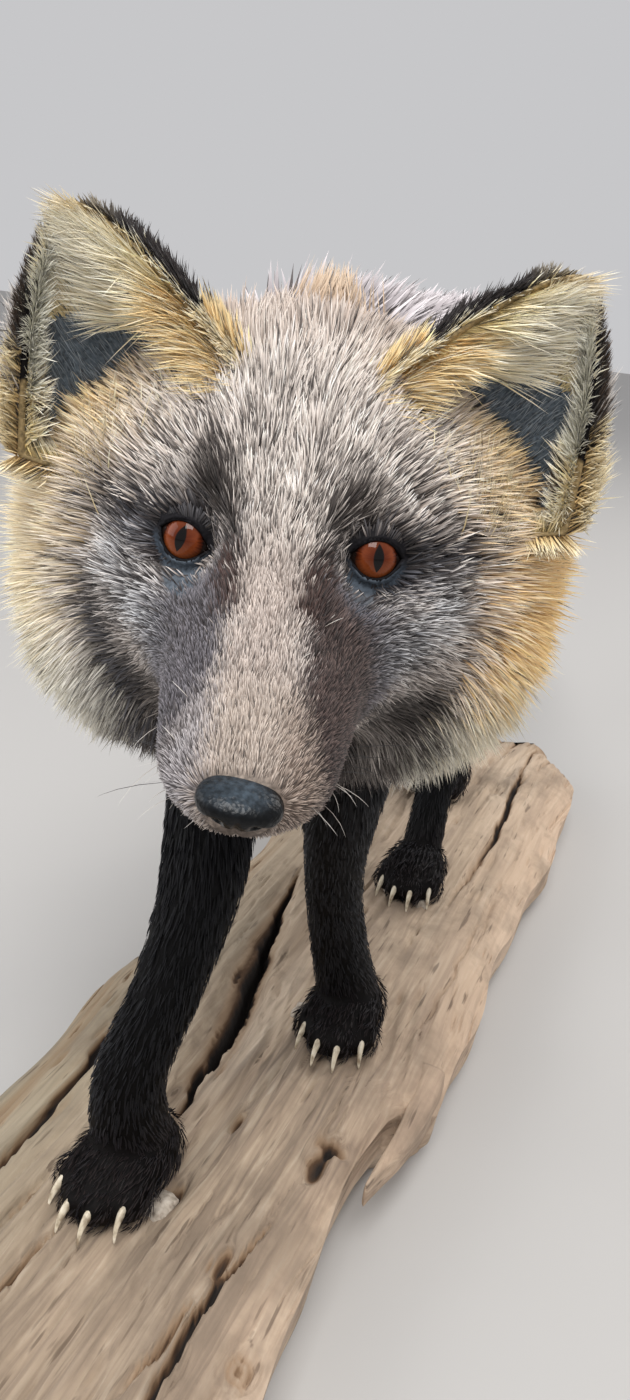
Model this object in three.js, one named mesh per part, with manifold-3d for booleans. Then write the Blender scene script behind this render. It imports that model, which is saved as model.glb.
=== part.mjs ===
// A mounted cross fox, the dark and gold colour form of the red fox, stalking along a slab of
// weathered driftwood. Millimetres, +Z up, nose towards -Y, the fox's left side towards +X.
// The model is made with z = 0 on the slab's top and lifted at the end, so that the slab's
// flat underside lies on z = 0. Every outline is that of the coat, out to the tips of the hair.
import * as THREE from 'three';
import { mergeVertices } from 'three/addons/utils/BufferGeometryUtils.js';
import Module from 'manifold-3d';

const wasm = await Module();
wasm.setup();

// ---------------------------------------------------------------- driving sizes
const GAP = 0.3; // air between neighbouring nodes
const BACK_HEIGHT = 350; // fur tips of the back above the slab
const BODY_HALF_WIDTH = 68; // at the ribs, with the winter coat
const BODY_X = -13; // the trunk stands a little to the right of the slab's middle
const ELBOW_CUT = 163; // where the front legs leave the chest
const STIFLE_CUT = 186; // where the hind legs leave the flank

const SLAB = { thick: 45, near: -370, far: 390, left: -110, right: 69, inset: 12 };

// The head is modelled round the point midway between the eyes: x to the fox's left,
// y back along the skull and z up. It is turned to the fox's left and tipped down.
const HEAD = {
  eyesAt: new THREE.Vector3(21, -194, 277),
  turn: THREE.MathUtils.degToRad(19.7),
  nod: THREE.MathUtils.degToRad(14.1),
  tilt: THREE.MathUtils.degToRad(2.0),
};
// the middles of the two corneas: out from the midline, and the left a little higher than the right
const EYE = { left: 27.5, right: 29, lift: 1.3, radius: 10, outward: new THREE.Vector3(0.24, -0.9, 0.36) };
const NOSE = { width: 21.5, height: 10.4, depth: 15.8, y: -79.5, z: -27.2 };
const EAR = {
  base: new THREE.Vector3(49, 45, 8),
  tip: new THREE.Vector3(76, 57, 72.5),
  face: new THREE.Vector3(0.12, -0.95, 0.25), // the way the opening looks
  halfWidth: 46,
  halfDepth: 21,
  wall: 4.5,
};

const COLOURS = {
  slate: 0x8d8790, frost: 0xb9ab9b, taupe: 0x8a7468, gold: 0xc8923f,
  sable: 0x1d1b20, smoke: 0x57504e, white: 0xe9e2d4, amber: 0x8a3d16, leather: 0x14161b,
  driftwood: 0xb59a80, rim: 0x2b2423,
};

// ---------------------------------------------------------------- solids and meshes
// A closed geometry becomes a solid once its shared corners are merged.
function solid(geometry) {
  const bare = geometry.index ? geometry.clone() : mergeVertices(geometry.clone());
  bare.deleteAttribute('normal');
  bare.deleteAttribute('uv');
  const merged = mergeVertices(bare, 1e-4);
  return new wasm.Manifold(new wasm.Mesh({
    numProp: 3,
    vertProperties: new Float32Array(merged.attributes.position.array),
    triVerts: new Uint32Array(merged.index.array),
  }));
}

function united(solids) {
  return solids.reduce((whole, piece) => whole.add(piece));
}

// The largest piece of a cut solid: slivers that a cut leaves on the far side are let go.
function mainPiece(cut) {
  const pieces = cut.decompose();
  return pieces.reduce((best, piece) => (piece.volume() > best.volume() ? piece : best));
}

function mesh(name, form, colour, roughness, metalness = 0) {
  const data = form.getMesh();
  const corners = new Float32Array(data.numVert * 3);
  for (let i = 0; i < data.numVert; i += 1) {
    for (let k = 0; k < 3; k += 1) {
      corners[3 * i + k] = data.vertProperties[data.numProp * i + k];
    }
  }
  const geometry = new THREE.BufferGeometry();
  geometry.setAttribute('position', new THREE.BufferAttribute(corners, 3));
  geometry.setIndex(new THREE.BufferAttribute(new Uint32Array(data.triVerts), 1));
  geometry.computeVertexNormals();
  const material = new THREE.MeshStandardMaterial({ color: colour, roughness, metalness });
  const node = new THREE.Mesh(geometry, material);
  node.name = name;
  return node;
}

// Skin between rings of equal length, closed by a fan at each end.
function loft(rings) {
  const around = rings[0].length;
  const corners = rings.flat();
  const faces = [];
  for (let r = 0; r + 1 < rings.length; r += 1) {
    for (let i = 0; i < around; i += 1) {
      const j = (i + 1) % around;
      const [a, b] = [r * around + i, r * around + j];
      faces.push(a, b, b + around, a, b + around, a + around);
    }
  }
  [rings[0], rings[rings.length - 1]].forEach((ring, end) => {
    const middle = ring.reduce((sum, p) => sum.add(p), new THREE.Vector3()).divideScalar(around);
    const hub = corners.push(middle) - 1;
    const first = end * (rings.length - 1) * around;
    for (let i = 0; i < around; i += 1) {
      const j = (i + 1) % around;
      if (end === 0) faces.push(hub, first + j, first + i);
      else faces.push(hub, first + i, first + j);
    }
  });
  const geometry = new THREE.BufferGeometry().setFromPoints(corners);
  geometry.setIndex(facingOut(corners, faces));
  return geometry;
}

// Turns the faces over where they enclose a negative volume.
function facingOut(corners, faces) {
  let volume = 0;
  for (let i = 0; i < faces.length; i += 3) {
    const [a, b, c] = [0, 1, 2].map((k) => corners[faces[i + k]]);
    volume += a.dot(new THREE.Vector3().crossVectors(b, c));
  }
  return volume > 0 ? faces : faces.reverse();
}

// Smooth rows between keyed rows: `steps` rows to each space, by a Catmull-Rom curve.
function smoothRows(keys, steps) {
  const rows = [];
  const last = keys.length - 1;
  for (let n = 0; n <= last * steps; n += 1) {
    const i = Math.min(Math.floor(n / steps), last - 1);
    const t = n / steps - i;
    const [p, q, r, s] = [keys[Math.max(i - 1, 0)], keys[i], keys[i + 1], keys[Math.min(i + 2, last)]];
    rows.push(q.map((value, k) => 0.5 * (2 * value + (r[k] - p[k]) * t
      + (2 * p[k] - 5 * value + 4 * r[k] - s[k]) * t * t
      + (3 * value - p[k] - 3 * r[k] + s[k]) * t * t * t)));
  }
  return rows;
}

// One cross-section: a rounded oval about `centre`, wider above or below as its sizes say.
function oval(centre, side, up, size, around, square = 2.2) {
  return Array.from({ length: around }, (_, i) => {
    const angle = (2 * Math.PI * i) / around;
    const [c, s] = [Math.cos(angle), Math.sin(angle)];
    const power = 2 / (s < 0 && size.squareBelow ? size.squareBelow : square);
    const across = Math.sign(c) * Math.abs(c) ** power * size.half;
    const high = Math.sign(s) * Math.abs(s) ** power * (s > 0 ? size.above : size.below);
    return centre.clone().addScaledVector(side, across).addScaledVector(up, high);
  });
}

const X = new THREE.Vector3(1, 0, 0);
const Z = new THREE.Vector3(0, 0, 1);

const headPose = new THREE.Matrix4().makeTranslation(HEAD.eyesAt)
  .multiply(new THREE.Matrix4().makeRotationZ(HEAD.turn))
  .multiply(new THREE.Matrix4().makeRotationX(HEAD.nod))
  .multiply(new THREE.Matrix4().makeRotationY(HEAD.tilt));

// ---------------------------------------------------------------- head
// Sections along the skull, from the lips to the back of the ruff: y, height of the widest
// level, half width, reach above it, reach below it, squareness of the part below.
function headForm(grow = 0) {
  const keys = [
    [-80, -33, 7, 5, 6, 2], // front of the lips
    [-75, -31, 16, 9, 12, 2],
    [-65, -30, 22, 15, 20, 2], // whisker pads
    [-44, -30, 27, 24, 28, 2],
    [-20, -30, 32, 34, 33, 2.1], // corner of the mouth and stop
    [-2, -28, 43, 45, 40, 2.1], // eyes
    [17, -31, 60, 60, 52, 2.2], // brow and cheekbones
    [36, -42, 84, 82, 70, 2.6],
    [58, -50, 101, 100, 77, 3], // the ruff at its widest
    [80, -48, 97, 98, 76, 2.6],
    [106, -36, 76, 80, 70, 2.2], // under the neck's mane
    [122, -32, 46, 50, 50, 2.1],
  ];
  const rings = smoothRows(keys, 2).map(([y, level, half, above, below, squareBelow]) => {
    const size = { half: half + grow, above: above + grow, below: below + grow, squareBelow };
    return oval(new THREE.Vector3(0, y, level), X, Z, size, 18, 2.15);
  });
  return solid(loft(rings).applyMatrix4(headPose));
}

// side is 1 for the fox's left and -1 for its right
function eyeCentre(side) {
  const outward = EYE.outward.clone().normalize();
  outward.x *= side;
  const front = new THREE.Vector3(side > 0 ? EYE.left : -EYE.right, 0, side * EYE.lift);
  return front.addScaledVector(outward, -EYE.radius);
}

function eyeball(side, grow = 0, detail = 2) {
  const ball = new THREE.IcosahedronGeometry(EYE.radius + grow, detail);
  const centre = eyeCentre(side);
  return solid(ball.translate(centre.x, centre.y, centre.z).applyMatrix4(headPose));
}

// The hollow between brow and cheek in which the eye shows.
function eyeSocket(side) {
  const outward = EYE.outward.clone().normalize();
  outward.x *= side;
  const middle = eyeCentre(side).addScaledVector(outward, EYE.radius + 1);
  const bowl = new THREE.IcosahedronGeometry(1, 1).scale(EYE.radius * 1.4, EYE.radius * 1.3, EYE.radius * 1.1);
  bowl.applyQuaternion(new THREE.Quaternion().setFromUnitVectors(new THREE.Vector3(0, -1, 0), outward));
  return solid(bowl.translate(middle.x, middle.y, middle.z).applyMatrix4(headPose));
}

function noseLeather(grow = 0) {
  const pad = new THREE.IcosahedronGeometry(1, 2);
  pad.scale(NOSE.width / 2 + grow, NOSE.depth / 2 + grow, NOSE.height / 2 + grow);
  return solid(pad.translate(0, NOSE.y, NOSE.z).applyMatrix4(headPose));
}

// A pricked ear: a broad cup that narrows to its tip, hollowed from the front.
function ear(side) {
  const axis = EAR.tip.clone().sub(EAR.base);
  const length = axis.length();
  axis.normalize();
  const across = new THREE.Vector3().crossVectors(axis, EAR.face).normalize();
  const front = new THREE.Vector3().crossVectors(across, axis).normalize();
  const outline = (s) => (1 - s) ** 0.6;
  const cup = (wall, forward, stop) => {
    const rings = [];
    for (let n = 0; n <= 6; n += 1) {
      const s = (stop * n) / 6;
      const half = Math.max(EAR.halfWidth * outline(s) - wall, 1.2);
      const depth = Math.max(EAR.halfDepth * outline(s) - wall, 1);
      const centre = EAR.base.clone().addScaledVector(axis, s * length).addScaledVector(front, forward);
      rings.push(oval(centre, across, front, { half, above: depth, below: depth }, 12, 2));
    }
    return loft(rings);
  };
  const shell = solid(cup(0, 0, 0.985)).subtract(solid(cup(EAR.wall, EAR.halfDepth * 0.62, 0.93)));
  const placed = new THREE.Matrix4().makeScale(side, 1, 1);
  return shell.transform(placed.toArray()).transform(headPose.toArray());
}

// ---------------------------------------------------------------- trunk, neck and tail
// Sections along the back: y, x, height of the widest level, half width, above, below.
function trunkForm() {
  const widest = 254;
  const top = BACK_HEIGHT - widest;
  const keys = [
    [-158, 0, 236, 22, 24, 24],
    [-146, 0, 238, 44, 50, 50], // breast
    [-122, 0, 244, 59, 88, 76],
    [-84, 0, widest - 2, BODY_HALF_WIDTH, top, 86], // withers
    [-20, 0, widest, BODY_HALF_WIDTH + 1, top - 2, 85],
    [55, 0, 257, BODY_HALF_WIDTH, top - 5, 80], // ribs
    [130, -1, 263, 61, top - 11, 66], // waist
    [195, -2, 265, 63, top - 15, 61], // hips
    [245, -2, 264, 53, top - 33, 58],
    [278, -1, 264, 36, 36, 44],
    [292, 0, 264, 16, 16, 20],
  ];
  const rings = smoothRows(keys, 2).map(([y, x, level, half, above, below]) => (
    oval(new THREE.Vector3(BODY_X + x, y, level), X, Z, { half, above, below }, 18, 2.2)
  ));
  return solid(loft(rings));
}

// A limb or tail: rings square to a path, each with a half width and a half depth.
function limbForm(keys, steps, around, square = 2.1) {
  const rows = smoothRows(keys, steps);
  const points = rows.map(([x, y, z]) => new THREE.Vector3(x, y, z));
  const rings = rows.map(([, , , half, depth], i) => {
    const ahead = points[Math.min(i + 1, points.length - 1)];
    const along = ahead.clone().sub(points[Math.max(i - 1, 0)]).normalize();
    const side = X.clone().addScaledVector(along, -along.x).normalize();
    const up = new THREE.Vector3().crossVectors(side, along).normalize();
    return oval(points[i], side, up, { half, above: depth, below: depth }, around, square);
  });
  return solid(loft(rings));
}

// The brush: x, y, z, half width, half depth, from the root to the white tip.
const TAIL_PATH = [
  [-13, 262, 276, 26, 24],
  [-16, 305, 255, 33, 33],
  [-22, 360, 208, 42, 42],
  [-32, 430, 156, 48, 47],
  [-44, 500, 124, 50, 48],
  [-57, 565, 112, 46, 44],
  [-67, 615, 112, 34, 32],
  [-73, 648, 116, 17, 16],
  [-76, 662, 118, 4, 4],
];

// ---------------------------------------------------------------- legs
// x, y, z, half width, half depth, from inside the body down to the ankle
const LEGS = {
  front_right: {
    paw: { x: -30, y: -171, heading: -6 },
    path: [
      [-42, -108, 262, 20, 34], [-42, -112, 222, 26, 38], [-29, -124, 172, 23, 29],
      [-19, -146, 132, 19, 20.5], [-22, -163, 92, 16.5, 16.5], [-31, -173, 52, 17.5, 17],
      [-32, -168, 20, 19, 20],
    ],
  },
  front_left: {
    paw: { x: 13, y: -35, heading: 4 },
    path: [
      [18, -100, 262, 20, 34], [22, -98, 222, 26, 38], [18, -90, 172, 23, 28],
      [11, -78, 132, 18, 20], [7, -62, 92, 16, 16.5], [8, -46, 52, 16.5, 16.5],
      [11, -33, 20, 18, 19],
    ],
  },
  hind_right: {
    paw: { x: -22, y: 262, heading: -4 },
    path: [
      [-40, 214, 292, 22, 40], [-50, 200, 248, 28, 54], [-52, 185, 200, 26, 46],
      [-46, 203, 160, 20, 29], [-36, 258, 118, 15, 17], [-30, 286, 92, 13.5, 17],
      [-26, 284, 56, 13, 14.5], [-23, 274, 22, 15, 17],
    ],
  },
  hind_left: {
    paw: { x: 1, y: 118, heading: 3 },
    path: [
      [12, 208, 292, 22, 40], [22, 187, 248, 28, 54], [25, 163, 202, 26, 46],
      [22, 151, 162, 20, 30], [11, 170, 118, 17, 19], [1, 176, 86, 16.5, 18.5],
      [-2, 154, 52, 14.5, 15.5], [0, 132, 22, 15, 17],
    ],
  },
};
const PAW = { length: 56, width: 38, height: 28, toe: 8.5, claw: 13 };

// A foot with its toes and claws, turned by its heading in degrees.
function pawForm({ x, y, heading }) {
  const pad = new THREE.SphereGeometry(1, 8, 5);
  pad.scale(PAW.width / 2, PAW.length / 2, PAW.height * 0.62);
  const pieces = [solid(pad.translate(0, 0, PAW.height * 0.34))];
  [-1.5, -0.5, 0.5, 1.5].forEach((place) => {
    const inner = Math.abs(place) < 1;
    const reach = inner ? 0.45 : 0.3;
    const at = new THREE.Vector3(place * PAW.width * 0.25, -PAW.length * reach, PAW.height * 0.3);
    const toe = new THREE.SphereGeometry(1, 6, 3);
    toe.scale(PAW.toe * 0.72, PAW.toe * 1.25, PAW.toe * 1.1).translate(at.x, at.y, at.z);
    const rings = [0, 1].map((t) => {
      const radius = 2.2 * (1 - t) + 0.5;
      const centre = new THREE.Vector3(place * t, -PAW.claw * t, -5 * t);
      return oval(centre, X, Z, { half: radius * 0.7, above: radius, below: radius }, 4, 2);
    });
    const claw = loft(rings).translate(at.x, at.y - PAW.toe * 0.7, at.z + 0.5);
    pieces.push(solid(toe), solid(claw));
  });
  const turned = new THREE.Matrix4().makeTranslation(x, y, 0)
    .multiply(new THREE.Matrix4().makeRotationZ(THREE.MathUtils.degToRad(heading)));
  return united(pieces).transform(turned.toArray());
}

// ---------------------------------------------------------------- driftwood slab
// The long edges, each a straight run with the slow waves of split wood.
const leftEdge = (y) => SLAB.left + 5 * Math.sin(y / 47) + 3 * Math.sin(y / 19 + 1)
  + 34 * THREE.MathUtils.smoothstep(-y, 250, 400) + 40 * THREE.MathUtils.smoothstep(y, 300, 400);
const rightEdge = (y) => SLAB.right + 2.5 * Math.sin(y / 37 + 2) + 1.5 * Math.sin(y / 15)
  - 17 * THREE.MathUtils.smoothstep(-y, 60, 82) + 4 * THREE.MathUtils.smoothstep(-y, 140, 235)
  - 30 * THREE.MathUtils.smoothstep(-y, 270, 400) - 36 * THREE.MathUtils.smoothstep(y, 340, 390);

// Height of the worn top about its mean level: long ridges that wander along the grain.
const relief = (x, y) => 1.6 * Math.sin(x / 15 + 0.8 * Math.sin(y / 90))
  + 1.2 * Math.sin(x / 8.5 + y / 140 + 2) - 3.5 * THREE.MathUtils.smoothstep(-x, 50, 110)
  - 4 * THREE.MathUtils.smoothstep(Math.abs(y), 330, 400);

function slabForm(grow = 0) {
  const stations = 20;
  const columns = 8;
  const rings = [];
  for (let n = 0; n <= stations; n += 1) {
    const y = THREE.MathUtils.lerp(SLAB.near - grow, SLAB.far + grow, n / stations);
    const [left, right] = [leftEdge(y) - grow, rightEdge(y) + grow];
    const ring = [];
    for (let c = 0; c <= columns; c += 1) {
      const across = c / columns;
      const x = THREE.MathUtils.lerp(right, left, across);
      const round = 9 * (Math.abs(2 * across - 1) ** 9);
      ring.push(new THREE.Vector3(x, y, relief(x, y) - round + grow));
    }
    const foot = -SLAB.thick - grow;
    ring.push(new THREE.Vector3(left + 2, y, foot * 0.55), new THREE.Vector3(left + SLAB.inset, y, foot));
    ring.push(new THREE.Vector3(right - SLAB.inset, y, foot), new THREE.Vector3(right - 2, y, foot * 0.55));
    rings.push(ring);
  }
  return solid(loft(rings));
}

// A split in the wood: a wedge that narrows to nothing at both ends.
function split(from, to, halfWidth, depth, sway) {
  const rings = [];
  for (let n = 0; n <= 6; n += 1) {
    const t = n / 6;
    const swell = Math.sin(Math.PI * t) ** 0.6;
    const x = THREE.MathUtils.lerp(from[0], to[0], t) + sway * Math.sin(5 * t);
    const y = THREE.MathUtils.lerp(from[1], to[1], t);
    const half = halfWidth * swell + 0.4;
    rings.push([
      new THREE.Vector3(x - half, y, 12), new THREE.Vector3(x + half, y, 12),
      new THREE.Vector3(x + half, y, -2), new THREE.Vector3(x, y, -depth * swell - 3),
      new THREE.Vector3(x - half, y, -2),
    ]);
  }
  return solid(loft(rings));
}

// The long splinter that has sprung from the right edge.
function splinter() {
  const rings = [];
  for (let n = 0; n <= 8; n += 1) {
    const t = n / 8;
    const half = 7 * (1 - t) ** 0.8 + 0.8;
    const x = THREE.MathUtils.lerp(61, 60, t) + 3 * Math.sin(4 * t);
    const centre = new THREE.Vector3(x, -42 - 84 * t, -9);
    rings.push(oval(centre, X, Z, { half, above: 8 - 2 * t, below: 19 - 13 * t }, 8, 2.6));
  }
  return solid(loft(rings));
}

const cracks = [
  split([-33, -140], [-64, 96], 6, 20, 4),
  split([31, -158], [20, -300], 3.5, 12, -3),
  split([26, 90], [30, 384], 2.5, 9, 5),
  split([-84, -250], [-92, 40], 2.5, 10, 4),
];
const slab = cracks.reduce((wood, crack) => wood.subtract(crack), slabForm().add(splinter()));

// ---------------------------------------------------------------- the fox, parted into nodes
const legSolids = Object.values(LEGS).flatMap(({ path, paw }) => [limbForm(path, 2, 10), pawForm(paw)]);
const whole = united([trunkForm(), headForm(), limbForm(TAIL_PATH, 1, 13, 2), ...legSolids])
  .subtract(slabForm(GAP).add(splinter()))
  .subtract(eyeball(1, 4 * GAP, 1)).subtract(eyeSocket(1))
  .subtract(eyeball(-1, 4 * GAP, 1)).subtract(eyeSocket(-1))
  .subtract(noseLeather(GAP));

// A box from corner to corner, in the body's frame or, with a pose, in the head's.
function box(low, high, pose = new THREE.Matrix4()) {
  return (grow) => {
    const size = high.map((h, k) => h - low[k] + 2 * grow);
    const middle = high.map((h, k) => (h + low[k]) / 2);
    const form = new THREE.BoxGeometry(...size).translate(...middle);
    return solid(form.applyMatrix4(pose));
  };
}

const group = new THREE.Group();
const fox = new THREE.Group();
fox.position.z = SLAB.thick;
group.add(fox);

// Each node takes what lies in its region, and the next ones share what is left.
let rest = whole;
function take(name, region, colour, roughness = 0.9) {
  fox.add(mesh(name, mainPiece(rest.intersect(region(0))), colour, roughness));
  rest = rest.subtract(region(GAP));
}

Object.entries(LEGS).forEach(([name, { paw, path }]) => {
  const top = name.startsWith('front') ? ELBOW_CUT : STIFLE_CUT;
  const ys = path.filter(([, , z]) => z < top).map(([, y]) => y);
  const reach = (low, high) => {
    const [near, far] = [Math.min(...ys, paw.y) - 50, Math.max(...ys, paw.y) + 42];
    const inner = name.endsWith('right') ? [-100, 1.5] : [-10, 100];
    return box([inner[0], near, low], [inner[1], far, high]);
  };
  take(`${name}_paw`, reach(-20, 34), COLOURS.sable);
  take(`${name}_lower_leg`, reach(34 + GAP, name.startsWith('front') ? 88 : 96), COLOURS.sable);
  take(`${name}_upper_leg`, reach((name.startsWith('front') ? 88 : 96) + GAP, top), COLOURS.sable);
});

take('muzzle', box([-70, -120, -100], [70, -24, 60], headPose), COLOURS.taupe);
take('face', box([-120, -24 + GAP, -150], [120, 27, 90], headPose), COLOURS.frost);
take('ruff', box([-140, 27 + GAP, -150], [140, 80, 90], headPose), COLOURS.gold);
take('neck', box([-140, -260, -100], [140, -72, 420]), COLOURS.slate);
take('chest', box([-140, -72 + GAP, -100], [140, 30, 420]), COLOURS.slate);
take('belly', box([-140, 30 + GAP, -100], [140, 140, 420]), COLOURS.slate);
take('rump', box([-140, 140 + GAP, -100], [140, 286, 420]), COLOURS.slate);
take('tail_root', box([-140, 286 + GAP, -100], [140, 400, 420]), COLOURS.smoke);
take('tail_brush', box([-140, 400 + GAP, -100], [140, 590, 420]), COLOURS.smoke);
take('tail_tip', box([-140, 590 + GAP, -100], [140, 700, 420]), COLOURS.white);

const skull = headForm(GAP).add(trunkForm());
fox.add(mesh('ear_right', mainPiece(ear(-1).subtract(skull)), COLOURS.rim, 0.9));
fox.add(mesh('ear_left', mainPiece(ear(1).subtract(skull)), COLOURS.rim, 0.9));
fox.add(mesh('eye_right', eyeball(-1), COLOURS.amber, 0.08));
fox.add(mesh('eye_left', eyeball(1), COLOURS.amber, 0.08));
fox.add(mesh('nose_leather', noseLeather(), COLOURS.leather, 0.4));
fox.add(mesh('driftwood_slab', slab, COLOURS.driftwood, 0.85));

export default group;
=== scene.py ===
"""A cross fox, the dark and gold form of the red fox, mounted in a stalking walk on driftwood."""

import bpy
import numpy as np
from mathutils import Matrix, Vector


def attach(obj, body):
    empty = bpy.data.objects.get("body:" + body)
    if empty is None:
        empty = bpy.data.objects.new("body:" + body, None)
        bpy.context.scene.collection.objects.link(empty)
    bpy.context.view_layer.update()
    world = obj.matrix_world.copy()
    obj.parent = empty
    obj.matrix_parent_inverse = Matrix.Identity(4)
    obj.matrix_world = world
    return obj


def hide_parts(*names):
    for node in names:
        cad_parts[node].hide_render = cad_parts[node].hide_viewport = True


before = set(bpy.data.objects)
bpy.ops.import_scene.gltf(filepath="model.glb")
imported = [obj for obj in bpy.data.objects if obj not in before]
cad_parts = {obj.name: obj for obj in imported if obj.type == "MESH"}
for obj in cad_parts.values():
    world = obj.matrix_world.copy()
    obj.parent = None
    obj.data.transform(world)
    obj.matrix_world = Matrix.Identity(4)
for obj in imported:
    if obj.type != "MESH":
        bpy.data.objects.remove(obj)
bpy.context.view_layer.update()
MM = 0.001
SLAB_TOP = 45.0  # millimetres from the slab's flat underside to its mean top

# ---------------------------------------------------------------- camera, light and floor
# A phone held low in front of the fox, looking down along the slab, in soft light from a
# large window overhead. The floor is a plain pale sheet.
PICTURE_HEIGHT, LENS_PIXELS = 1400, 1110  # the upright picture's height and its focal length, in pixels
SENSOR = 36.0  # the camera's film in millimetres
LOOK_DOWN, ROLL, SLAB_TURN = np.radians([21.5, 6.3, 20.0])
EYE_POINT = np.array([140.0, -480.0, 354.0 + SLAB_TOP]) * MM


def turned(angle):
    """The matrix that turns points about the upright axis: cosines and sines of the angle."""
    c, s = np.cos(angle), np.sin(angle)
    return np.array([[c, -s, 0], [s, c, 0], [0, 0, 1]])


def camera_axes():
    """The camera's right, up and back directions: looking down, rolled, then turned off the slab."""
    c, s = np.cos(LOOK_DOWN), np.sin(LOOK_DOWN)
    right = np.array([np.cos(ROLL), s * np.sin(ROLL), c * np.sin(ROLL)])
    up = np.array([-np.sin(ROLL), s * np.cos(ROLL), c * np.cos(ROLL)])
    turn = turned(SLAB_TURN)
    return turn @ right, turn @ up, -(turn @ np.array([0.0, c, -s]))


camera = bpy.data.objects.new("camera", bpy.data.cameras.new("camera"))
bpy.context.collection.objects.link(camera)
camera.data.sensor_fit = "AUTO"
camera.data.sensor_width = SENSOR
camera.data.lens = LENS_PIXELS * SENSOR / PICTURE_HEIGHT
camera.data.clip_start = 0.01
camera_frame = np.eye(4)
camera_frame[:3, :3] = np.stack(camera_axes(), axis=1)
camera_frame[:3, 3] = EYE_POINT
camera.matrix_world = Matrix(camera_frame.tolist())
bpy.context.scene.camera = camera


def soft_light(name, place, target, size, watts, colour=(1, 1, 1)):
    """A square area light at `place`, facing `target`."""
    data = bpy.data.lights.new(name, "AREA")
    data.energy, data.size, data.color = watts, size, colour
    lamp = bpy.data.objects.new(name, data)
    bpy.context.collection.objects.link(lamp)
    lamp.location = place
    lamp.rotation_euler = (Vector(target) - Vector(place)).to_track_quat("-Z", "Y").to_euler()


soft_light("window_overhead", (0.3, -1.1, 2.1), (0, 0, 0.3), 1.1, 44, (1.0, 0.99, 0.97))
soft_light("left_fill", (-1.7, -0.9, 1.0), (0, 0, 0.25), 1.4, 15, (0.96, 0.98, 1.0))
soft_light("back_light", (0.8, 1.7, 1.6), (0, 0.1, 0.3), 1.2, 20, (1.0, 0.98, 0.95))
world = bpy.data.worlds.new("studio")
bpy.context.scene.world = world
world.use_nodes = True
sky = world.node_tree.nodes["Background"].inputs
sky["Color"].default_value = (0.84, 0.84, 0.86, 1)
sky["Strength"].default_value = 0.68
bpy.context.scene.view_settings.view_transform = "Standard"


def srgb(hex_colour):
    """Linear red, green and blue from a six-digit colour code, by the sRGB curve."""
    value = np.array([int(hex_colour[i : i + 2], 16) for i in (0, 2, 4)]) / 255
    return np.where(value <= 0.04045, value / 12.92, ((value + 0.055) / 1.055) ** 2.4)


def rgba(hex_colour):
    """The same colour as a socket takes it, with an alpha of 1."""
    return (*srgb(hex_colour), 1)


def plain_material(name, colour, roughness):
    """A new material whose Principled shader has that colour and roughness."""
    material = bpy.data.materials.new(name)
    material.use_nodes = True
    shader = material.node_tree.nodes["Principled BSDF"]
    shader.inputs["Base Color"].default_value = rgba(colour)
    shader.inputs["Roughness"].default_value = roughness
    return material


def mesh_piece(name, corners, faces, material=None):
    """A mesh object at the origin, from rows of corners and arrays of corner numbers, one per face size."""
    mesh = bpy.data.meshes.new(name)
    mesh.vertices.add(len(corners))
    mesh.vertices.foreach_set("co", np.ascontiguousarray(corners, np.float32).ravel())
    groups = faces if isinstance(faces, list) else [faces]
    loops = np.concatenate([group.ravel() for group in groups]).astype(np.int32)
    sizes = np.concatenate([np.full(len(group), group.shape[1]) for group in groups])
    mesh.loops.add(len(loops))
    mesh.loops.foreach_set("vertex_index", loops)
    mesh.polygons.add(len(sizes))
    mesh.polygons.foreach_set("loop_start", (np.cumsum(sizes) - sizes).astype(np.int32))
    mesh.update(calc_edges=True)
    mesh.shade_smooth()
    if material:
        mesh.materials.append(material)
    piece = bpy.data.objects.new(name, mesh)
    bpy.context.collection.objects.link(piece)
    return piece


floor_corners = np.array([[-6, -6, -0.0005], [6, -6, -0.0005], [6, 6, -0.0005], [-6, 6, -0.0005]])
floor_material = plain_material("pale_floor", "b4b2b0", 0.8)
floor = mesh_piece("floor", floor_corners, np.array([[0, 1, 2, 3]]), floor_material)


# ---------------------------------------------------------------- driftwood slab
# A split length of weathered driftwood: grey-tan, ridged along the grain, with deep drying
# cracks, a sprung splinter at its right edge and a flat sawn underside.
def smoothstep(x, low, high):
    """0 below `low`, 1 above `high`, and 3t^2 - 2t^3 between."""
    t = np.clip((x - low) / (high - low), 0, 1)
    return t * t * (3 - 2 * t)


def value_noise(x, y, seed):
    """Smooth noise from -1 to 1: random values on whole numbers, blended by smoothstep between them."""
    table = np.random.default_rng(seed).uniform(-1, 1, (256, 256))
    ix, iy = np.floor(x).astype(int), np.floor(y).astype(int)
    fx, fy = x - ix, y - iy
    fx, fy = fx * fx * (3 - 2 * fx), fy * fy * (3 - 2 * fy)
    a, b = table[ix % 256, iy % 256], table[(ix + 1) % 256, iy % 256]
    c, d = table[ix % 256, (iy + 1) % 256], table[(ix + 1) % 256, (iy + 1) % 256]
    return (a * (1 - fx) + b * fx) * (1 - fy) + (c * (1 - fx) + d * fx) * fy


def slab_left(y):
    """The left edge: a straight run with slow waves that draws in at both ends."""
    waves = 5 * np.sin(y / 47) + 3 * np.sin(y / 19 + 1)
    return -110 + waves + 34 * smoothstep(-y, 250, 400) + 40 * smoothstep(y, 300, 400)


def slab_right(y):
    """The right edge, with the step where the splinter has torn away."""
    waves = 2.5 * np.sin(y / 37 + 2) + 1.5 * np.sin(y / 15)
    steps = -17 * smoothstep(-y, 60, 82) + 4 * smoothstep(-y, 140, 235)
    return 69 + waves + steps - 30 * smoothstep(-y, 270, 400) - 36 * smoothstep(y, 340, 390)


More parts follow.
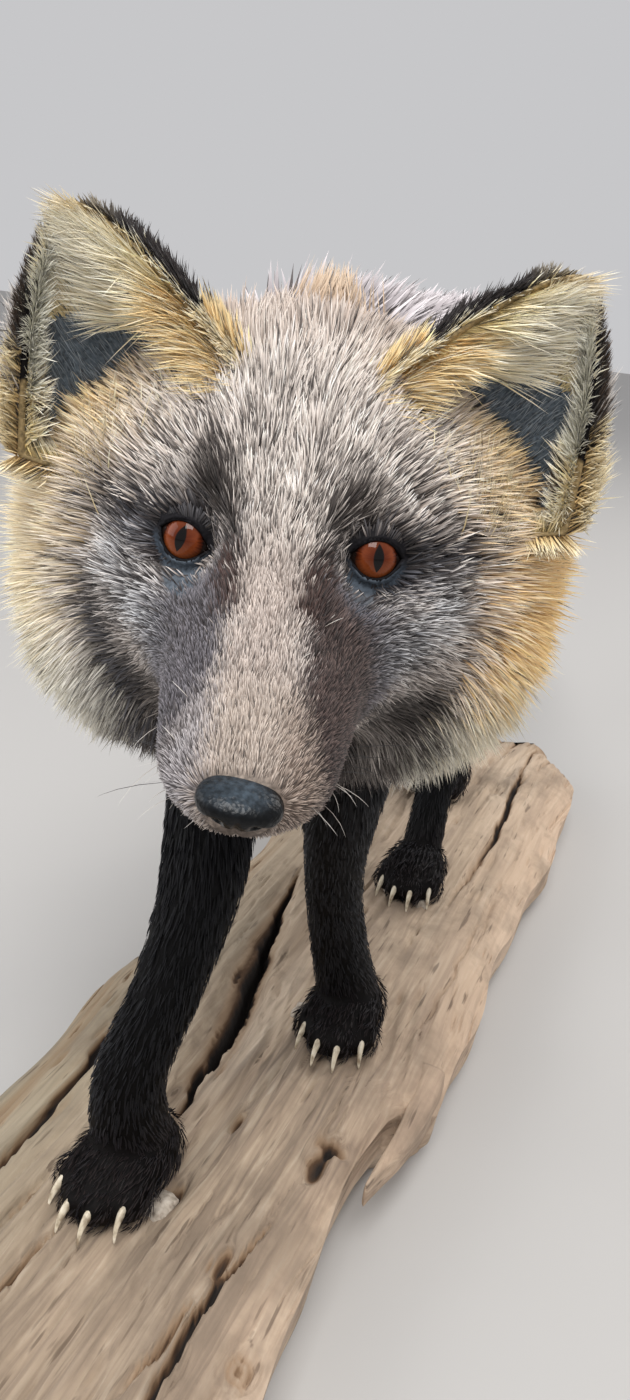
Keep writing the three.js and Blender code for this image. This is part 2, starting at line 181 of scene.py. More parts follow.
def crack(x, y, start, end, half_width, depth, sway):
    """Depth of a split from `start` to `end`: a V across it that swells in the middle of its length."""
    t = (y - start[1]) / (end[1] - start[1])
    swell = np.sin(np.pi * np.clip(t, 0, 1)) ** 0.6
    middle = start[0] + (end[0] - start[0]) * t + sway * np.sin(5 * t) + 1.2 * value_noise(y / 9, y * 0, 5)
    return depth * swell * np.clip(1 - np.abs(x - middle) / (half_width * swell + 0.3), 0, 1) ** 0.7


# start and end, half width, depth and sway of the drying cracks
CRACKS = [
    ((-33, -140), (-64, 96), 13, 7, 4), ((-31, -142), (-62, 98), 3.2, 15, 4),
    ((31, -158), (22, -300), 2.0, 10, -3), ((20, -205), (16, -262), 1.8, 6, 1),
    ((26, 90), (30, 384), 2.5, 9, 5), ((-84, -250), (-92, 40), 2.5, 10, 4),
    ((-40, -196), (-62, -330), 2.2, 9, 3), ((46, -40), (52, 120), 1.4, 4, 2),
]
# middle, half width, half length and depth of rotted hollows and knots
HOLLOWS = [
    (35, -126, 4, 12, 8), (38, -112, 7, 5, 7), (-11, -169, 4, 9, 7), (46, -224, 7, 10, 5),
    (17, 280, 7, 10, 3.5), (22, -190, 2.2, 9, 6), (-6, -118, 2.5, 9, 5), (12, -66, 2.5, 10, 3),
    (-2, 20, 2.5, 12, 2.5), (40, 10, 2, 8, 2.5), (38, 170, 2.5, 12, 2.5), (2, 215, 2.5, 10, 2.5),
    (-78, -150, 3, 16, 3), (-60, -205, 3, 14, 3), (4, -250, 2.5, 8, 3),
]


def slab_ridges(x, y):
    """The broad ridges of the top: two sines across the grain that wander along it."""
    return 1.6 * np.sin(x / 15 + 0.8 * np.sin(y / 90)) + 1.2 * np.sin(x / 8.5 + y / 140 + 2)


def slab_height(x, y):
    """Height of the worn top about its mean: wandering ridges, fine grain, cracks and hollows."""
    bent = x + 9 * np.sin(y / 110) + 4 * np.sin(y / 41 + 1) + 3 * value_noise(y / 60, x / 60, 9)
    grain = 1.3 * value_noise(bent / 4.2, y / 95, 1) + 0.6 * value_noise(bent / 1.9, y / 60, 2)
    grain += 0.9 * value_noise(bent / 9.0, y / 70, 12) + 0.25 * value_noise(bent / 0.95, y / 30, 3)
    ends = -3.5 * smoothstep(-x, 50, 110) - 4 * smoothstep(np.abs(y), 330, 400)
    splits = sum(crack(x, y, *row) for row in CRACKS)
    checks = 2.6 * np.clip(value_noise(bent / 1.9, y / 24, 4) - 0.58, 0, 1) / 0.42
    hollow = 0
    for at_x, at_y, across, along, deep in HOLLOWS:
        ragged = 1 + 0.35 * value_noise(x / 3 + at_x, y / 5, 14)
        off = ((x - at_x) / across) ** 2 + ((y - at_y) / along) ** 2
        hollow = hollow + deep * np.exp(-(off**1.5) * ragged)
    knot = np.hypot((x - 46) / 0.75, y + 224)
    hollow = hollow + 0.7 * np.sin(knot * 1.5) * np.exp(-((knot / 13) ** 2))
    return slab_ridges(x, y) + grain + ends - splits - checks - hollow


def grid_faces(rows, columns):
    """Quads between neighbouring rows of a grid, and round to the first column again."""
    r = np.arange(rows - 1)[:, None] * columns
    c = np.arange(columns)[None, :]
    d = (c + 1) % columns
    return np.stack([r + c, r + d, r + columns + d, r + columns + c], axis=-1).reshape(-1, 4)


def capped(rows, columns, flip=False):
    """Faces of a closed tube of rings: the grid and a fan onto a hub at each end, the hubs coming last."""
    hub = rows * columns
    c = np.arange(columns)
    d = (c + 1) % columns
    last = (rows - 1) * columns
    fans = np.concatenate([
        np.stack([np.full(columns, hub), d, c], axis=1),
        np.stack([np.full(columns, hub + 1), last + c, last + d], axis=1),
    ])
    quads = grid_faces(rows, columns)
    return [quads[:, ::-1], fans[:, ::-1]] if flip else [quads, fans]


def with_hubs(rings):
    """Corner rows of a grid of rings, followed by the middle of the first and of the last ring."""
    return np.concatenate([rings.reshape(-1, 3), rings[:1].mean(axis=1), rings[-1:].mean(axis=1)])


SLAB_FRONT, SLAB_BACK = -370, 390


def slab_rings(rows, across):
    """Rings along the slab: the ridged top, a bellied side, the flat underside and the other side."""
    y = np.linspace(SLAB_FRONT, SLAB_BACK, rows)[:, None]
    left, right = slab_left(y), slab_right(y)
    share = np.linspace(0, 1, across)[None, :]
    share = 0.5 - 0.5 * np.cos(np.pi * share) * (0.3 + 0.7 * np.abs(np.cos(np.pi * share)) ** 0.3)
    x = right + (left - right) * share
    top = slab_height(x, y) - 9 * np.abs(2 * share - 1) ** 9
    drop = np.linspace(0, 1, 14)[None, 1:]
    inset = 12 * np.clip((drop - 0.55) / 0.45, 0, 1) ** 1.3 + 2 * np.sin(np.pi * drop)
    rough = 1.1 * value_noise(drop * 9 + y * 0, y / 30, 6) * np.sin(np.pi * drop)
    under_x = (left + 12) + (right - left - 24) * np.linspace(0, 1, 12)[None, 1:-1]

    def rows_of(x, z):
        """Points at those places along every ring's y."""
        return np.stack(np.broadcast_arrays(x, y, z), axis=-1)

    left_side = rows_of(left + inset + rough, top[:, -1:] * (1 - drop) - SLAB_TOP * drop)
    right_side = rows_of(right - inset - rough, top[:, :1] * (1 - drop) - SLAB_TOP * drop)
    parts = [rows_of(x, top), left_side, rows_of(under_x, -SLAB_TOP), right_side[:, ::-1]]
    return np.concatenate(parts, axis=1)


def splinter_rings():
    """The sprung sliver: ovals that shrink along a bowed line just off the right edge."""
    t = np.linspace(0, 1, 60)[:, None]
    angle = np.linspace(0, 2 * np.pi, 28, endpoint=False)[None, :]
    half = 7 * (1 - t) ** 0.8 + 0.8
    reach = np.where(np.sin(angle) > 0, 8 - 2 * t, 19 - 13 * t)
    ripple = 1 + 0.06 * value_noise(angle * 4 + t * 0, t * 7, 8)
    c, s = np.cos(angle), np.sin(angle)
    x = 61 - t + 3 * np.sin(4 * t) + np.sign(c) * np.abs(c) ** 0.77 * half * ripple
    z = -9 + np.sign(s) * np.abs(s) ** 0.77 * reach * ripple
    return np.stack([x, np.broadcast_to(-42 - 84 * t, x.shape), z], axis=-1)


def raised(points):
    """Millimetres above the slab's top, as metres above its underside."""
    return (points + np.array([0, 0, SLAB_TOP])) * MM


def node(tree, kind, inputs=None, **settings):
    """A shader node with its settings made and its inputs given as values or linked sockets."""
    made = tree.nodes.new(kind)
    for key, value in settings.items():
        setattr(made, key, value)
    for key, value in (inputs or {}).items():
        if isinstance(value, bpy.types.NodeSocket):
            tree.links.new(value, made.inputs[key])
        else:
            made.inputs[key].default_value = value
    return made


def ramp(tree, factor, stops):
    """A colour ramp: `stops` are positions with colour codes."""
    made = node(tree, "ShaderNodeValToRGB", {"Fac": factor})
    band = made.color_ramp
    while len(band.elements) < len(stops):
        band.elements.new(0.5)
    for element, (place, colour) in zip(band.elements, stops):
        element.position = place
        element.color = rgba(colour)
    return made.outputs["Color"]


def mixed(tree, factor, first, second, kind="MIX"):
    """Two colours mixed by a factor, by the named blend."""
    made = node(tree, "ShaderNodeMix", data_type="RGBA", blend_type=kind)
    for socket, value in ((made.inputs[0], factor), (made.inputs[6], first), (made.inputs[7], second)):
        if isinstance(value, bpy.types.NodeSocket):
            tree.links.new(value, socket)
        else:
            socket.default_value = value
    return made.outputs[2]


def between(tree, value, start, full, amount=1.0):
    """A mask: 0 where a value is `start`, `amount` where it is `full`, straight between, flat beyond."""
    limits = {"Value": value, "From Min": start, "From Max": full, "To Max": amount}
    return node(tree, "ShaderNodeMapRange", limits).outputs[0]


def object_place(tree, scale=None, turn=0.0):
    """Object coordinates, scaled along each axis and turned about the upright one where that is asked for."""
    place = node(tree, "ShaderNodeTexCoord").outputs["Object"]
    if scale is None:
        return place
    inputs = {"Vector": place, "Scale": scale, "Rotation": (0, 0, turn)}
    return node(tree, "ShaderNodeMapping", inputs).outputs[0]


def noise(tree, place, scale, detail, **more):
    """Cloudy noise from 0 to 1, mostly near its middle."""
    inputs = {"Vector": place, "Scale": scale, "Detail": detail, **more}
    return node(tree, "ShaderNodeTexNoise", inputs).outputs["Fac"]


def named_value(tree, name, output):
    """What a mesh keeps under that name."""
    return node(tree, "ShaderNodeAttribute", attribute_name=name).outputs[output]


def dressed(material, colour, bump=None, values=()):
    """Joins a colour and a bump (height, strength, distance) to the shader and sets its other values."""
    tree = material.node_tree
    sockets = tree.nodes["Principled BSDF"].inputs
    tree.links.new(colour, sockets["Base Color"])
    if bump:
        inputs = dict(zip(("Height", "Strength", "Distance"), bump))
        tree.links.new(node(tree, "ShaderNodeBump", inputs).outputs[0], sockets["Normal"])
    for socket, value in dict(values).items():
        sockets[socket].default_value = value
    return material


MOTTLE_TONES = ("Dark", "Middle", "Pale")


def mottle_group():
    """Blotches of wood, hide, horn and filler: noise as three tones, straight between their levels."""
    group = bpy.data.node_groups.new("mottle", "ShaderNodeTree")
    kinds = {"Vector": "NodeSocketVector", "Scale": "NodeSocketFloat", "Detail": "NodeSocketFloat"}
    for tone in MOTTLE_TONES:
        kinds.update({tone: "NodeSocketColor", tone + " Level": "NodeSocketFloat"})
    for name, kind in kinds.items():
        group.interface.new_socket(name=name, in_out="INPUT", socket_type=kind)
    group.interface.new_socket(name="Color", in_out="OUTPUT", socket_type="NodeSocketColor")
    group.interface.new_socket(name="Height", in_out="OUTPUT", socket_type="NodeSocketFloat")
    given = node(group, "NodeGroupInput").outputs
    cloud = noise(group, given["Vector"], given["Scale"], given["Detail"])
    colour = given["Dark"]
    for low, high in (("Dark", "Middle"), ("Middle", "Pale")):
        share = between(group, cloud, given[low + " Level"], given[high + " Level"])
        colour = mixed(group, share, colour, given[high])
    node(group, "NodeGroupOutput", {"Color": colour, "Height": cloud})
    return group


mottle = mottle_group()


def mottled(tree, place, scale, detail, tones):
    """The mottle group set in a material with its own noise and three levels with colour codes."""
    inputs = {"Vector": place, "Scale": scale, "Detail": detail}
    for tone, (level, colour) in zip(MOTTLE_TONES, tones):
        inputs.update({tone: rgba(colour), tone + " Level": level})
    return node(tree, "ShaderNodeGroup", inputs, node_tree=mottle).outputs


def driftwood_material():
    """Grey-tan wood: long grain streaks and blotches, greener and darker with painted shadow on the left,
    lighter towards the far end, darker towards the near end, pinker along the right, brown stains, dark
    checks, and darker the deeper its cracks and hollows lie.
    """
    material = plain_material("weathered_driftwood", "b59c82", 0.85)
    tree = material.node_tree
    place = object_place(tree)
    fine = noise(tree, object_place(tree, (230, 15, 230), 0.03), 1.0, 7.0, Distortion=1.1)
    streaks = ramp(tree, fine, [(0.3, "5a4c40"), (0.44, "96826f"), (0.57, "bba68e"), (0.74, "dacab5")])
    tones = ((0.34, "766a5d"), (0.5, "af9a84"), (0.66, "d2c1ad"))
    broad = mottled(tree, object_place(tree, (34, 4, 34)), 1.0, 4.0, tones)
    wood = mixed(tree, 0.5, streaks, broad["Color"])
    across, lengthwise, _ = node(tree, "ShaderNodeSeparateXYZ", {"Vector": place}).outputs
    stains = noise(tree, place, 16.0, 5.0, Roughness=0.65)
    dashes = noise(tree, object_place(tree, (330, 30, 330), 0.05), 1.0, 2.0)
    # what a shade follows, where it sets in and where it is full, its strength and its colour
    shades = [
        # greener and darker on the left: the wood's own greenish cast, with painted shadow over the left lobe
        (across, -0.03, -0.085, 0.62, "857e6a"),
        # lighter towards the far end
        (lengthwise, -0.08, 0.08, 0.3, "e2c8ad"),
        # darker towards the near end
        (lengthwise, -0.15, -0.27, 0.42, "6f6152"),
        (across, 0.02, 0.07, 0.45, "cfb198"),
        (stains, 0.5, 0.66, 0.5, "736455"),
        (dashes, 0.64, 0.72, 0.6, "4a392c"),
    ]
    for follows, start, full, strength, colour in shades:
        wood = mixed(tree, between(tree, follows, start, full, strength), wood, rgba(colour))
    # Darker the deeper a crack or hollow lies below the ridges, to near black at the bottom.
    hollow = named_value(tree, "hollow", "Fac")
    depth_tone = ramp(tree, hollow, [(0.2, "8e6c48"), (0.55, "5a4029"), (0.9, "1c1410")])
    wood = mixed(tree, between(tree, hollow, 0.0, 0.6), wood, depth_tone)
    return dressed(material, wood, (fine, 0.7, 0.0013))


def kept_values(piece, name, kind, field, values):
    """Keeps one value for every corner of a piece under a name that its material reads."""
    layer = piece.data.attributes.new(name, kind, "POINT").data
    layer.foreach_set(field, np.ascontiguousarray(values, np.float32).ravel())


rings = slab_rings(420, 170)
sliver = splinter_rings()
slab_corners = np.concatenate([with_hubs(rings), with_hubs(sliver)])
offset = len(with_hubs(rings))
slab_faces = capped(*rings.shape[:2]) + [faces + offset for faces in capped(*sliver.shape[:2])]
slab = mesh_piece("driftwood", raised(slab_corners), slab_faces, driftwood_material())
x, y, z = slab_corners.T
low = slab_height(x, y) - slab_ridges(x, y)
kept_values(slab, "hollow", "FLOAT", "value", smoothstep(-low, 2.4, 8.5) * (z > -25))
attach(slab, "root")
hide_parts("driftwood_slab")


# ---------------------------------------------------------------- skin
# The tanned hide over its form: head, neck, trunk, legs, paws and tail in one, with lids round
# the glass eyes and thin cupped ears. It lies inside the coat's outline by the coat's depth.
def catmull(keys, t):
    """Rows of `keys` at fractional places t, by Catmull-Rom curves with the end rows repeated."""
    last = len(keys) - 1
    i = np.clip(np.floor(t).astype(int), 0, last - 1)
    f = (t - i)[..., None]
    p, q, r, s = keys[np.maximum(i - 1, 0)], keys[i], keys[i + 1], keys[np.minimum(i + 2, last)]
    return 0.5 * (2 * q + (r - p) * f + (2 * p - 5 * q + 4 * r - s) * f * f + (3 * q - p - 3 * r + s) * f**3)


def superoval(angle, half, above, below, square, square_below):
    """Across and up on a rounded oval: cosine and sine, each raised to 2 / squareness, times their reach."""
    c, s = np.cos(angle), np.sin(angle)
    power = 2 / np.where(s < 0, square_below, square)
    reach = np.where(s > 0, above, below)
    return np.sign(c) * np.abs(c) ** power * half, np.sign(s) * np.abs(s) ** power * reach


def unit(vectors):
    """Vectors divided by their lengths."""
    return vectors / np.maximum(np.linalg.norm(vectors, axis=-1, keepdims=True), 1e-9)


# y, widest level, half width, above, below, squareness below, coat at the sides, coat on top
HEAD_KEYS = np.array([
    [-80, -33, 7, 5, 6, 2, 0.8, 0.8],
    [-75, -31, 16, 9, 12, 2, 1.0, 1.0],
    [-65, -30, 22, 15, 20, 2, 1.3, 1.3],
    [-44, -30, 27, 24, 28, 2, 1.8, 1.8],
    [-20, -30, 32, 34, 33, 2.1, 2.6, 2.6],
    [-2, -28, 43, 45, 40, 2.1, 3.8, 3.4],
    [17, -31, 60, 60, 52, 2.2, 7.5, 4.8],
    [36, -42, 84, 82, 70, 2.6, 17, 7.5],
    [58, -50, 101, 100, 77, 3, 26, 11],
    [80, -48, 97, 98, 76, 2.6, 26, 16],
    [106, -36, 76, 80, 70, 2.2, 22, 18],
    [122, -32, 46, 50, 50, 2.1, 16, 14],
], float)
TURN, NOD, TILT = np.radians([19.7, 14.1, 2.0])
EYES_AT = np.array([21.0, -194.0, 277.0])
EYE_RADIUS = 10.0
EYE_FRONT = {-1: np.array([-29.0, 0, -1.3]), 1: np.array([27.5, 0, 1.3])}
LID_SLANT = {-1: np.radians(9), 1: np.radians(-3)}  # each eye's slit, outer corner up
HEAD_TURN = (
    turned(TURN)
    @ np.array([[1, 0, 0], [0, np.cos(NOD), -np.sin(NOD)], [0, np.sin(NOD), np.cos(NOD)]])
    @ np.array([[np.cos(TILT), 0, np.sin(TILT)], [0, 1, 0], [-np.sin(TILT), 0, np.cos(TILT)]])
)


def posed(points):
    """Head coordinates (x to its left, y back, z up, from between the eyes) to the slab's."""
    return points @ HEAD_TURN.T + EYES_AT


def unposed(points):
    """The slab's coordinates to the head's."""
    return (points - EYES_AT) @ HEAD_TURN


def eye_axes(side):
    """An eyeball's middle, and its directions outward, along the slit to the outer corner, and up."""
    outward = unit(np.array([0.24 * side, -0.9, 0.36]))
    middle = EYE_FRONT[side] - EYE_RADIUS * outward
    up = unit(np.array([0, 0, 1]) - outward[2] * outward)
    along = -side * np.cross(outward, up)
    slant = LID_SLANT[side]
    slit = np.cos(slant) * along + np.sin(slant) * up
    return middle, outward, slit, np.cos(slant) * up - np.sin(slant) * along


# half width of the gap between the lids, its height above the slit and its depth below
LID_GAP = (8.3, 5.1, 6.2)


def mirrored(points):
    """Points of the head's right half moved over to its left half."""
    return np.stack([np.abs(points[..., 0]), points[..., 1], points[..., 2]], axis=-1)


def one_sided(points, place, size):
    """1 at `place` and falling off as a bell of that size, with no mirrored twin."""
    return np.exp(-(((points - np.array(place, float)) / size) ** 2).sum(axis=-1))


def near(points, place, size):
    """1 at `place` and falling off as a bell of that size; the nearer of a mirrored pair counts."""
    return one_sided(mirrored(points), place, size)


def mouth_line(y):
    """Height of the closed lips along the muzzle: a slight slope down to the corner."""
    return -41 - 0.11 * (y + 75)


def lid_sculpt(points, side):
    """Sinks the surface along an eye's outward axis: a shallow socket, lids over the ball, an almond gap."""
    middle, outward, slit, up = eye_axes(side)
    offset = points - middle
    ahead = offset @ outward
    a, b = offset @ slit, offset @ up
    wide = np.hypot(a, b)
    front = smoothstep(ahead, -2, 3) * (1 - smoothstep(ahead, 21, 30))
    new = ahead - 3.2 * np.exp(-((wide / 17) ** 2))
    dome = np.sqrt(np.maximum((EYE_RADIUS + 1.0) ** 2 - wide**2, 0))
    skirt = 7.2 - 0.25 * (wide - 8)
    lids = 0.5 * (dome + skirt + np.sqrt((dome - skirt) ** 2 + 1.5))
    fold = 0.8 * np.exp(-(((wide - 8.6) / 0.9) ** 2)) + 0.5 * np.exp(-(((wide - 11.5) / 1.1) ** 2))
    lids = lids - fold * smoothstep(np.abs(b), 1, 4)
    new = lids + (new - lids) * smoothstep(wide, 8.5, 19)
    almond = 1 - np.abs(a / LID_GAP[0]) ** 2.2 - np.where(b > 0, b / LID_GAP[1], -b / LID_GAP[2])
    opened = smoothstep(almond, -0.06, 0.1) * (wide < 8.5)
    inside = np.sqrt(np.maximum((EYE_RADIUS - 1.6) ** 2 - wide**2, 0)) * 0.9
    new = new + (inside - new) * opened
    share = np.clip((a - 7.5) / 14, 0, 1)
    crease = np.exp(-(((b - 0.5 - 1.5 * share) / 1.3) ** 2)) * smoothstep(a, 6.5, 9)
    new = new - 1.5 * crease * (1 - smoothstep(a, 15, 22))
    return points + (front * (new - ahead))[..., None] * outward


def head_surface(u, v):
    """The bare head in its own coordinates: keyed ovals less the coat, then brows, cheeks, lips and lids."""
    keys = catmull(HEAD_KEYS, u)
    y, level = keys[..., 0], keys[..., 1]
    angle = 2 * np.pi * v
    half, above, below = keys[..., 2] - keys[..., 6], keys[..., 3] - keys[..., 7], keys[..., 4] - keys[..., 6]
    x, high = superoval(angle, half, above, below, 2.15, keys[..., 5])
    points = np.stack([x, y, level + high], axis=-1)
    away = unit(np.stack([x, y * 0, high], axis=-1))
    z = points[..., 2]
    lips = np.exp(-(((z - mouth_line(y)) / 1.5) ** 2)) * smoothstep(-y, 17, 26)
    jaw = smoothstep(mouth_line(y) - z, 0.5, 6) * smoothstep(-y, 10, 30)
    swell = 2.2 * near(points, (24, 8, 15), 10) + 2.4 * near(points, (44, 9, -22), (13, 16, 12))
    swell += 1.5 * near(points, (17, -58, -33), (8, 12, 8)) - 1.6 * near(points, (17, -30, -8), (5, 12, 7))
    furrow = np.exp(-((x / 4) ** 2)) * smoothstep(y, -8, 12) * (1 - smoothstep(y, 38, 60)) * (high > 0)
    philtrum = np.exp(-((x / 1.1) ** 2)) * smoothstep(-y, 70, 75) * (z < -31)
    points = points + away * (swell - 2.4 * lips - 1.3 * furrow - 1.2 * philtrum)[..., None]
    points[..., 0] *= 1 - 0.1 * jaw
    for side in (-1, 1):
        points = lid_sculpt(points, side)
    return points


EAR_BASE, EAR_TIP = np.array([49.0, 45, 8]), np.array([76.0, 57, 72.5])
EAR_FACE = np.array([0.12, -0.95, 0.25])  # the way the cup opens
EAR_HALF_WIDTH, EAR_HALF_DEPTH, EAR_ARC = 46.0, 21.0, np.radians(108)
EAR_COAT, EAR_WALL = 2.6, 2.2


def ear_directions(side):
    """The ear's axis, its direction to the outer rim and its front, in head coordinates."""
    upward = unit(EAR_TIP - EAR_BASE)
    across = unit(np.cross(upward, EAR_FACE))
    front = unit(np.cross(across, upward))
    flip = np.array([side, 1, 1])
    return upward * flip, across * np.sign(across[0]) * flip, front * flip


def ear_surface(side, s, w, inset):
    """A cupped ear, s from base to tip, w from the medial (-1) to the outer rim: arcs open to the front."""
    _, outer, front = ear_directions(1)
    outline = np.clip(1 - s, 0, 1) ** 0.6 * (1 + 2.6 * np.minimum(s - 0.06, 0))
    half = np.maximum(EAR_HALF_WIDTH * outline - inset, 1.0)
    depth = np.maximum(EAR_HALF_DEPTH * outline - inset, 0.8)
    angle = w * EAR_ARC
    points = EAR_BASE + s[..., None] * (EAR_TIP - EAR_BASE)
    points = points - np.maximum(0.06 - s, 0)[..., None] * np.array([60, 0, 0])
    points = points + (half * np.sin(angle))[..., None] * outer
    points = points - (depth * np.cos(angle))[..., None] * front
    return points * np.array([side, 1, 1])


TRUNK_COAT, LEG_COAT, TAIL_COAT = 17, 3.4, 26
BODY_X, BACK_HEIGHT = -13, 350
# y, x, widest level, half width, above, below
TRUNK_KEYS = np.array([
    [-158, 0, 236, 22, 24, 24],
    [-146, 0, 238, 44, 50, 50],
    [-122, 0, 244, 59, 88, 76],
    [-84, 0, 252, 68, BACK_HEIGHT - 254, 86],
    [-20, 0, 254, 69, BACK_HEIGHT - 256, 85],
    [55, 0, 257, 68, BACK_HEIGHT - 259, 80],
    [130, -1, 263, 61, BACK_HEIGHT - 265, 66],
    [195, -2, 265, 63, BACK_HEIGHT - 269, 61],
    [245, -2, 264, 53, BACK_HEIGHT - 287, 58],
    [278, -1, 264, 36, 36, 44],
    [292, 0, 264, 16, 16, 20],
], float)


def trunk_surface(u, v, coat):
    """Keyed ovals along the back, less the coat's depth."""
    keys = catmull(TRUNK_KEYS, u)
    coat = np.minimum(coat, 0.45 * keys[..., 3])
    half, above, below = keys[..., 3] - coat, keys[..., 4] - coat, keys[..., 5] - coat
    x, high = superoval(2 * np.pi * v, half, above, below, 2.2, 2.2)
    return np.stack([BODY_X + keys[..., 1] + x, keys[..., 0], keys[..., 2] + high], axis=-1)


def path_step(keys, u, reach):
    """The step along a keyed path from just before place u to just past it."""
    past = catmull(keys, np.minimum(u + reach, len(keys) - 1))[..., :3]
    return past - catmull(keys, np.maximum(u - reach, 0))[..., :3]


def limb_surface(keys, u, v, coat, square=2.1):
    """Ovals square to a path: x, y, z, half width and half depth, less the coat's depth."""
    rows = catmull(keys, u)
    ahead = unit(path_step(keys, u, 0.05))
    side = unit(np.array([1.0, 0, 0]) - ahead[..., :1] * ahead)
    up = np.cross(side, ahead)
    coat = np.minimum(coat, 0.6 * rows[..., 3])
    half, deep = rows[..., 3] - coat, rows[..., 4] - coat
    across, high = superoval(2 * np.pi * v, half, deep, deep, square, square)
    return rows[..., :3] + across[..., None] * side + high[..., None] * up


# x, y, z, half width, half depth
TAIL_KEYS = np.array([
    [-13, 262, 276, 26, 24], [-16, 305, 255, 33, 33], [-22, 360, 208, 42, 42],
    [-32, 430, 156, 48, 47], [-44, 500, 124, 50, 48], [-57, 565, 112, 46, 44],
    [-67, 615, 112, 34, 32], [-73, 648, 116, 17, 16], [-76, 662, 118, 4, 4],
], float)
LEG_KEYS = {
    "front_right": np.array([
        [-42, -108, 262, 20, 34], [-42, -112, 222, 26, 38], [-29, -124, 172, 23, 29],
        [-19, -146, 132, 19, 20.5], [-22, -163, 92, 16.5, 16.5], [-31, -173, 52, 17.5, 17],
        [-32, -168, 20, 19, 20],
    ], float),
    "front_left": np.array([
        [18, -100, 262, 20, 34], [22, -98, 222, 26, 38], [18, -90, 172, 23, 28],
        [11, -78, 132, 18, 20], [7, -62, 92, 16, 16.5], [8, -46, 52, 16.5, 16.5], [11, -33, 20, 18, 19],
    ], float),
    "hind_right": np.array([
        [-40, 214, 292, 22, 40], [-50, 200, 248, 28, 54], [-52, 185, 200, 26, 46], [-46, 203, 160, 20, 29],
        [-36, 258, 118, 15, 17], [-30, 286, 92, 13.5, 17], [-26, 284, 56, 13, 14.5], [-23, 274, 22, 15, 17],
    ], float),
    "hind_left": np.array([
        [12, 208, 292, 22, 40], [22, 187, 248, 28, 54], [25, 163, 202, 26, 46], [22, 151, 162, 20, 30],
        [11, 170, 118, 17, 19], [1, 176, 86, 16.5, 18.5], [-2, 154, 52, 14.5, 15.5], [0, 132, 22, 15, 17],
    ], float),
}
# x, y and heading in radians of each foot
PAW_AT = {
    "front_right": (-30, -171, np.radians(-6)), "front_left": (13, -35, np.radians(4)),
    "hind_right": (-22, 262, np.radians(-4)), "hind_left": (1, 118, np.radians(3)),
}
PAW_LENGTH, PAW_WIDTH, PAW_HEIGHT, TOE = 56, 38, 28, 8.5
# each toe's place from side to side, and how far it reaches forward
TOES = [(place * PAW_WIDTH / 4, PAW_LENGTH * reach) for place, reach in (
    (-1.5, 0.3), (-0.5, 0.45), (0.5, 0.45), (1.5, 0.3))]


def leg_coat(u, last):
    """The leg's coat: deep on the thigh or shoulder and short below the elbow or hock."""
    return LEG_COAT + 7 * (1 - smoothstep(u / last, 0.25, 0.5))


def ball(middle, radii, u, v):
    """An upright ellipsoid: u from pole to pole, v round it."""
    flat = np.sin(np.pi * u)
    return np.stack([
        middle[0] + radii[0] * flat * np.cos(2 * np.pi * v),
        middle[1] + radii[1] * flat * np.sin(2 * np.pi * v),
        middle[2] - radii[2] * np.cos(np.pi * u),
    ], axis=-1)


def paw_balls():
    """Middles and radii of a foot's pad and four toes, before it is turned and set in place."""
    pads = [((0, 0, PAW_HEIGHT * 0.36), (PAW_WIDTH / 2 - 1.5, PAW_LENGTH / 2 - 2, PAW_HEIGHT * 0.6 - 1.5))]
    for place, reach in TOES:
        middle = (place, -reach, PAW_HEIGHT * 0.3)
        pads.append((middle, (TOE * 0.68, TOE * 1.2, TOE * 1.0)))
        pads.append(((middle[0] * 0.9, middle[1] + 9, middle[2] + 5), (TOE * 0.62, TOE * 1.4, TOE * 0.85)))
    return pads


def stepped(leg, points):
    """A foot's own coordinates to the slab's: turned by its heading and moved to its place."""
    x, y, heading = PAW_AT[leg]
    return points @ turned(heading).T + np.array([x, y, 0])


def grid_uv(rows, columns, first, last):
    """Row and column parameters of a grid: rows from first to last, columns once round."""
    return np.meshgrid(np.linspace(first, last, rows), np.arange(columns) / columns, indexing="ij")


def closed_form(name, grids, material=None):
    """One object of several closed tubes, each capped at its ends and turned to face outwards."""
    corners, quads, fans, count = [], [], [], 0
    for grid in grids:
        rows, columns = grid.shape[:2]
        ring = grid[rows // 2]
        normal = np.cross(ring[1] - ring[0], grid[rows // 2 + 1, 0] - ring[0])
        tube, ends = capped(rows, columns, flip=normal @ (ring[0] - ring.mean(axis=0)) < 0)
        corners.append(with_hubs(grid))
        quads.append(tube + count)
        fans.append(ends + count)
        count += len(corners[-1])
    faces = [np.concatenate(quads), np.concatenate(fans)]
    return mesh_piece(name, raised(np.concatenate(corners)), faces, material)


# Finer rows and columns round the eyes and along the muzzle.
u_fine = np.interp(np.linspace(0, 1, 190), [0, 0.3, 0.68, 1], [0, 3.7, 6.4, 11])
v_places, v_values = [0, 0.1, 0.37, 0.63, 0.9, 1], [-0.25, -0.02, 0.2, 0.3, 0.52, 0.75]
v_steps = np.interp(np.linspace(0, 1, 251)[:-1], v_places, v_values)
head_grid = posed(head_surface(*np.meshgrid(u_fine, v_steps, indexing="ij")))

body_grids = [trunk_surface(*grid_uv(70, 90, 0, len(TRUNK_KEYS) - 1), TRUNK_COAT)]
for leg, keys in LEG_KEYS.items():
    last = len(keys) - 1
    u, v = grid_uv(60, 48, 0, last)
    body_grids.append(limb_surface(keys, u, v, leg_coat(u, last)))
    for middle, radii in paw_balls():
        body_grids.append(stepped(leg, ball(middle, radii, *grid_uv(20, 28, 0.04, 0.96))))
body_grids.append(limb_surface(TAIL_KEYS, *grid_uv(70, 40, 0, len(TAIL_KEYS) - 1), TAIL_COAT, 2))
skin = closed_form("skin", body_grids)


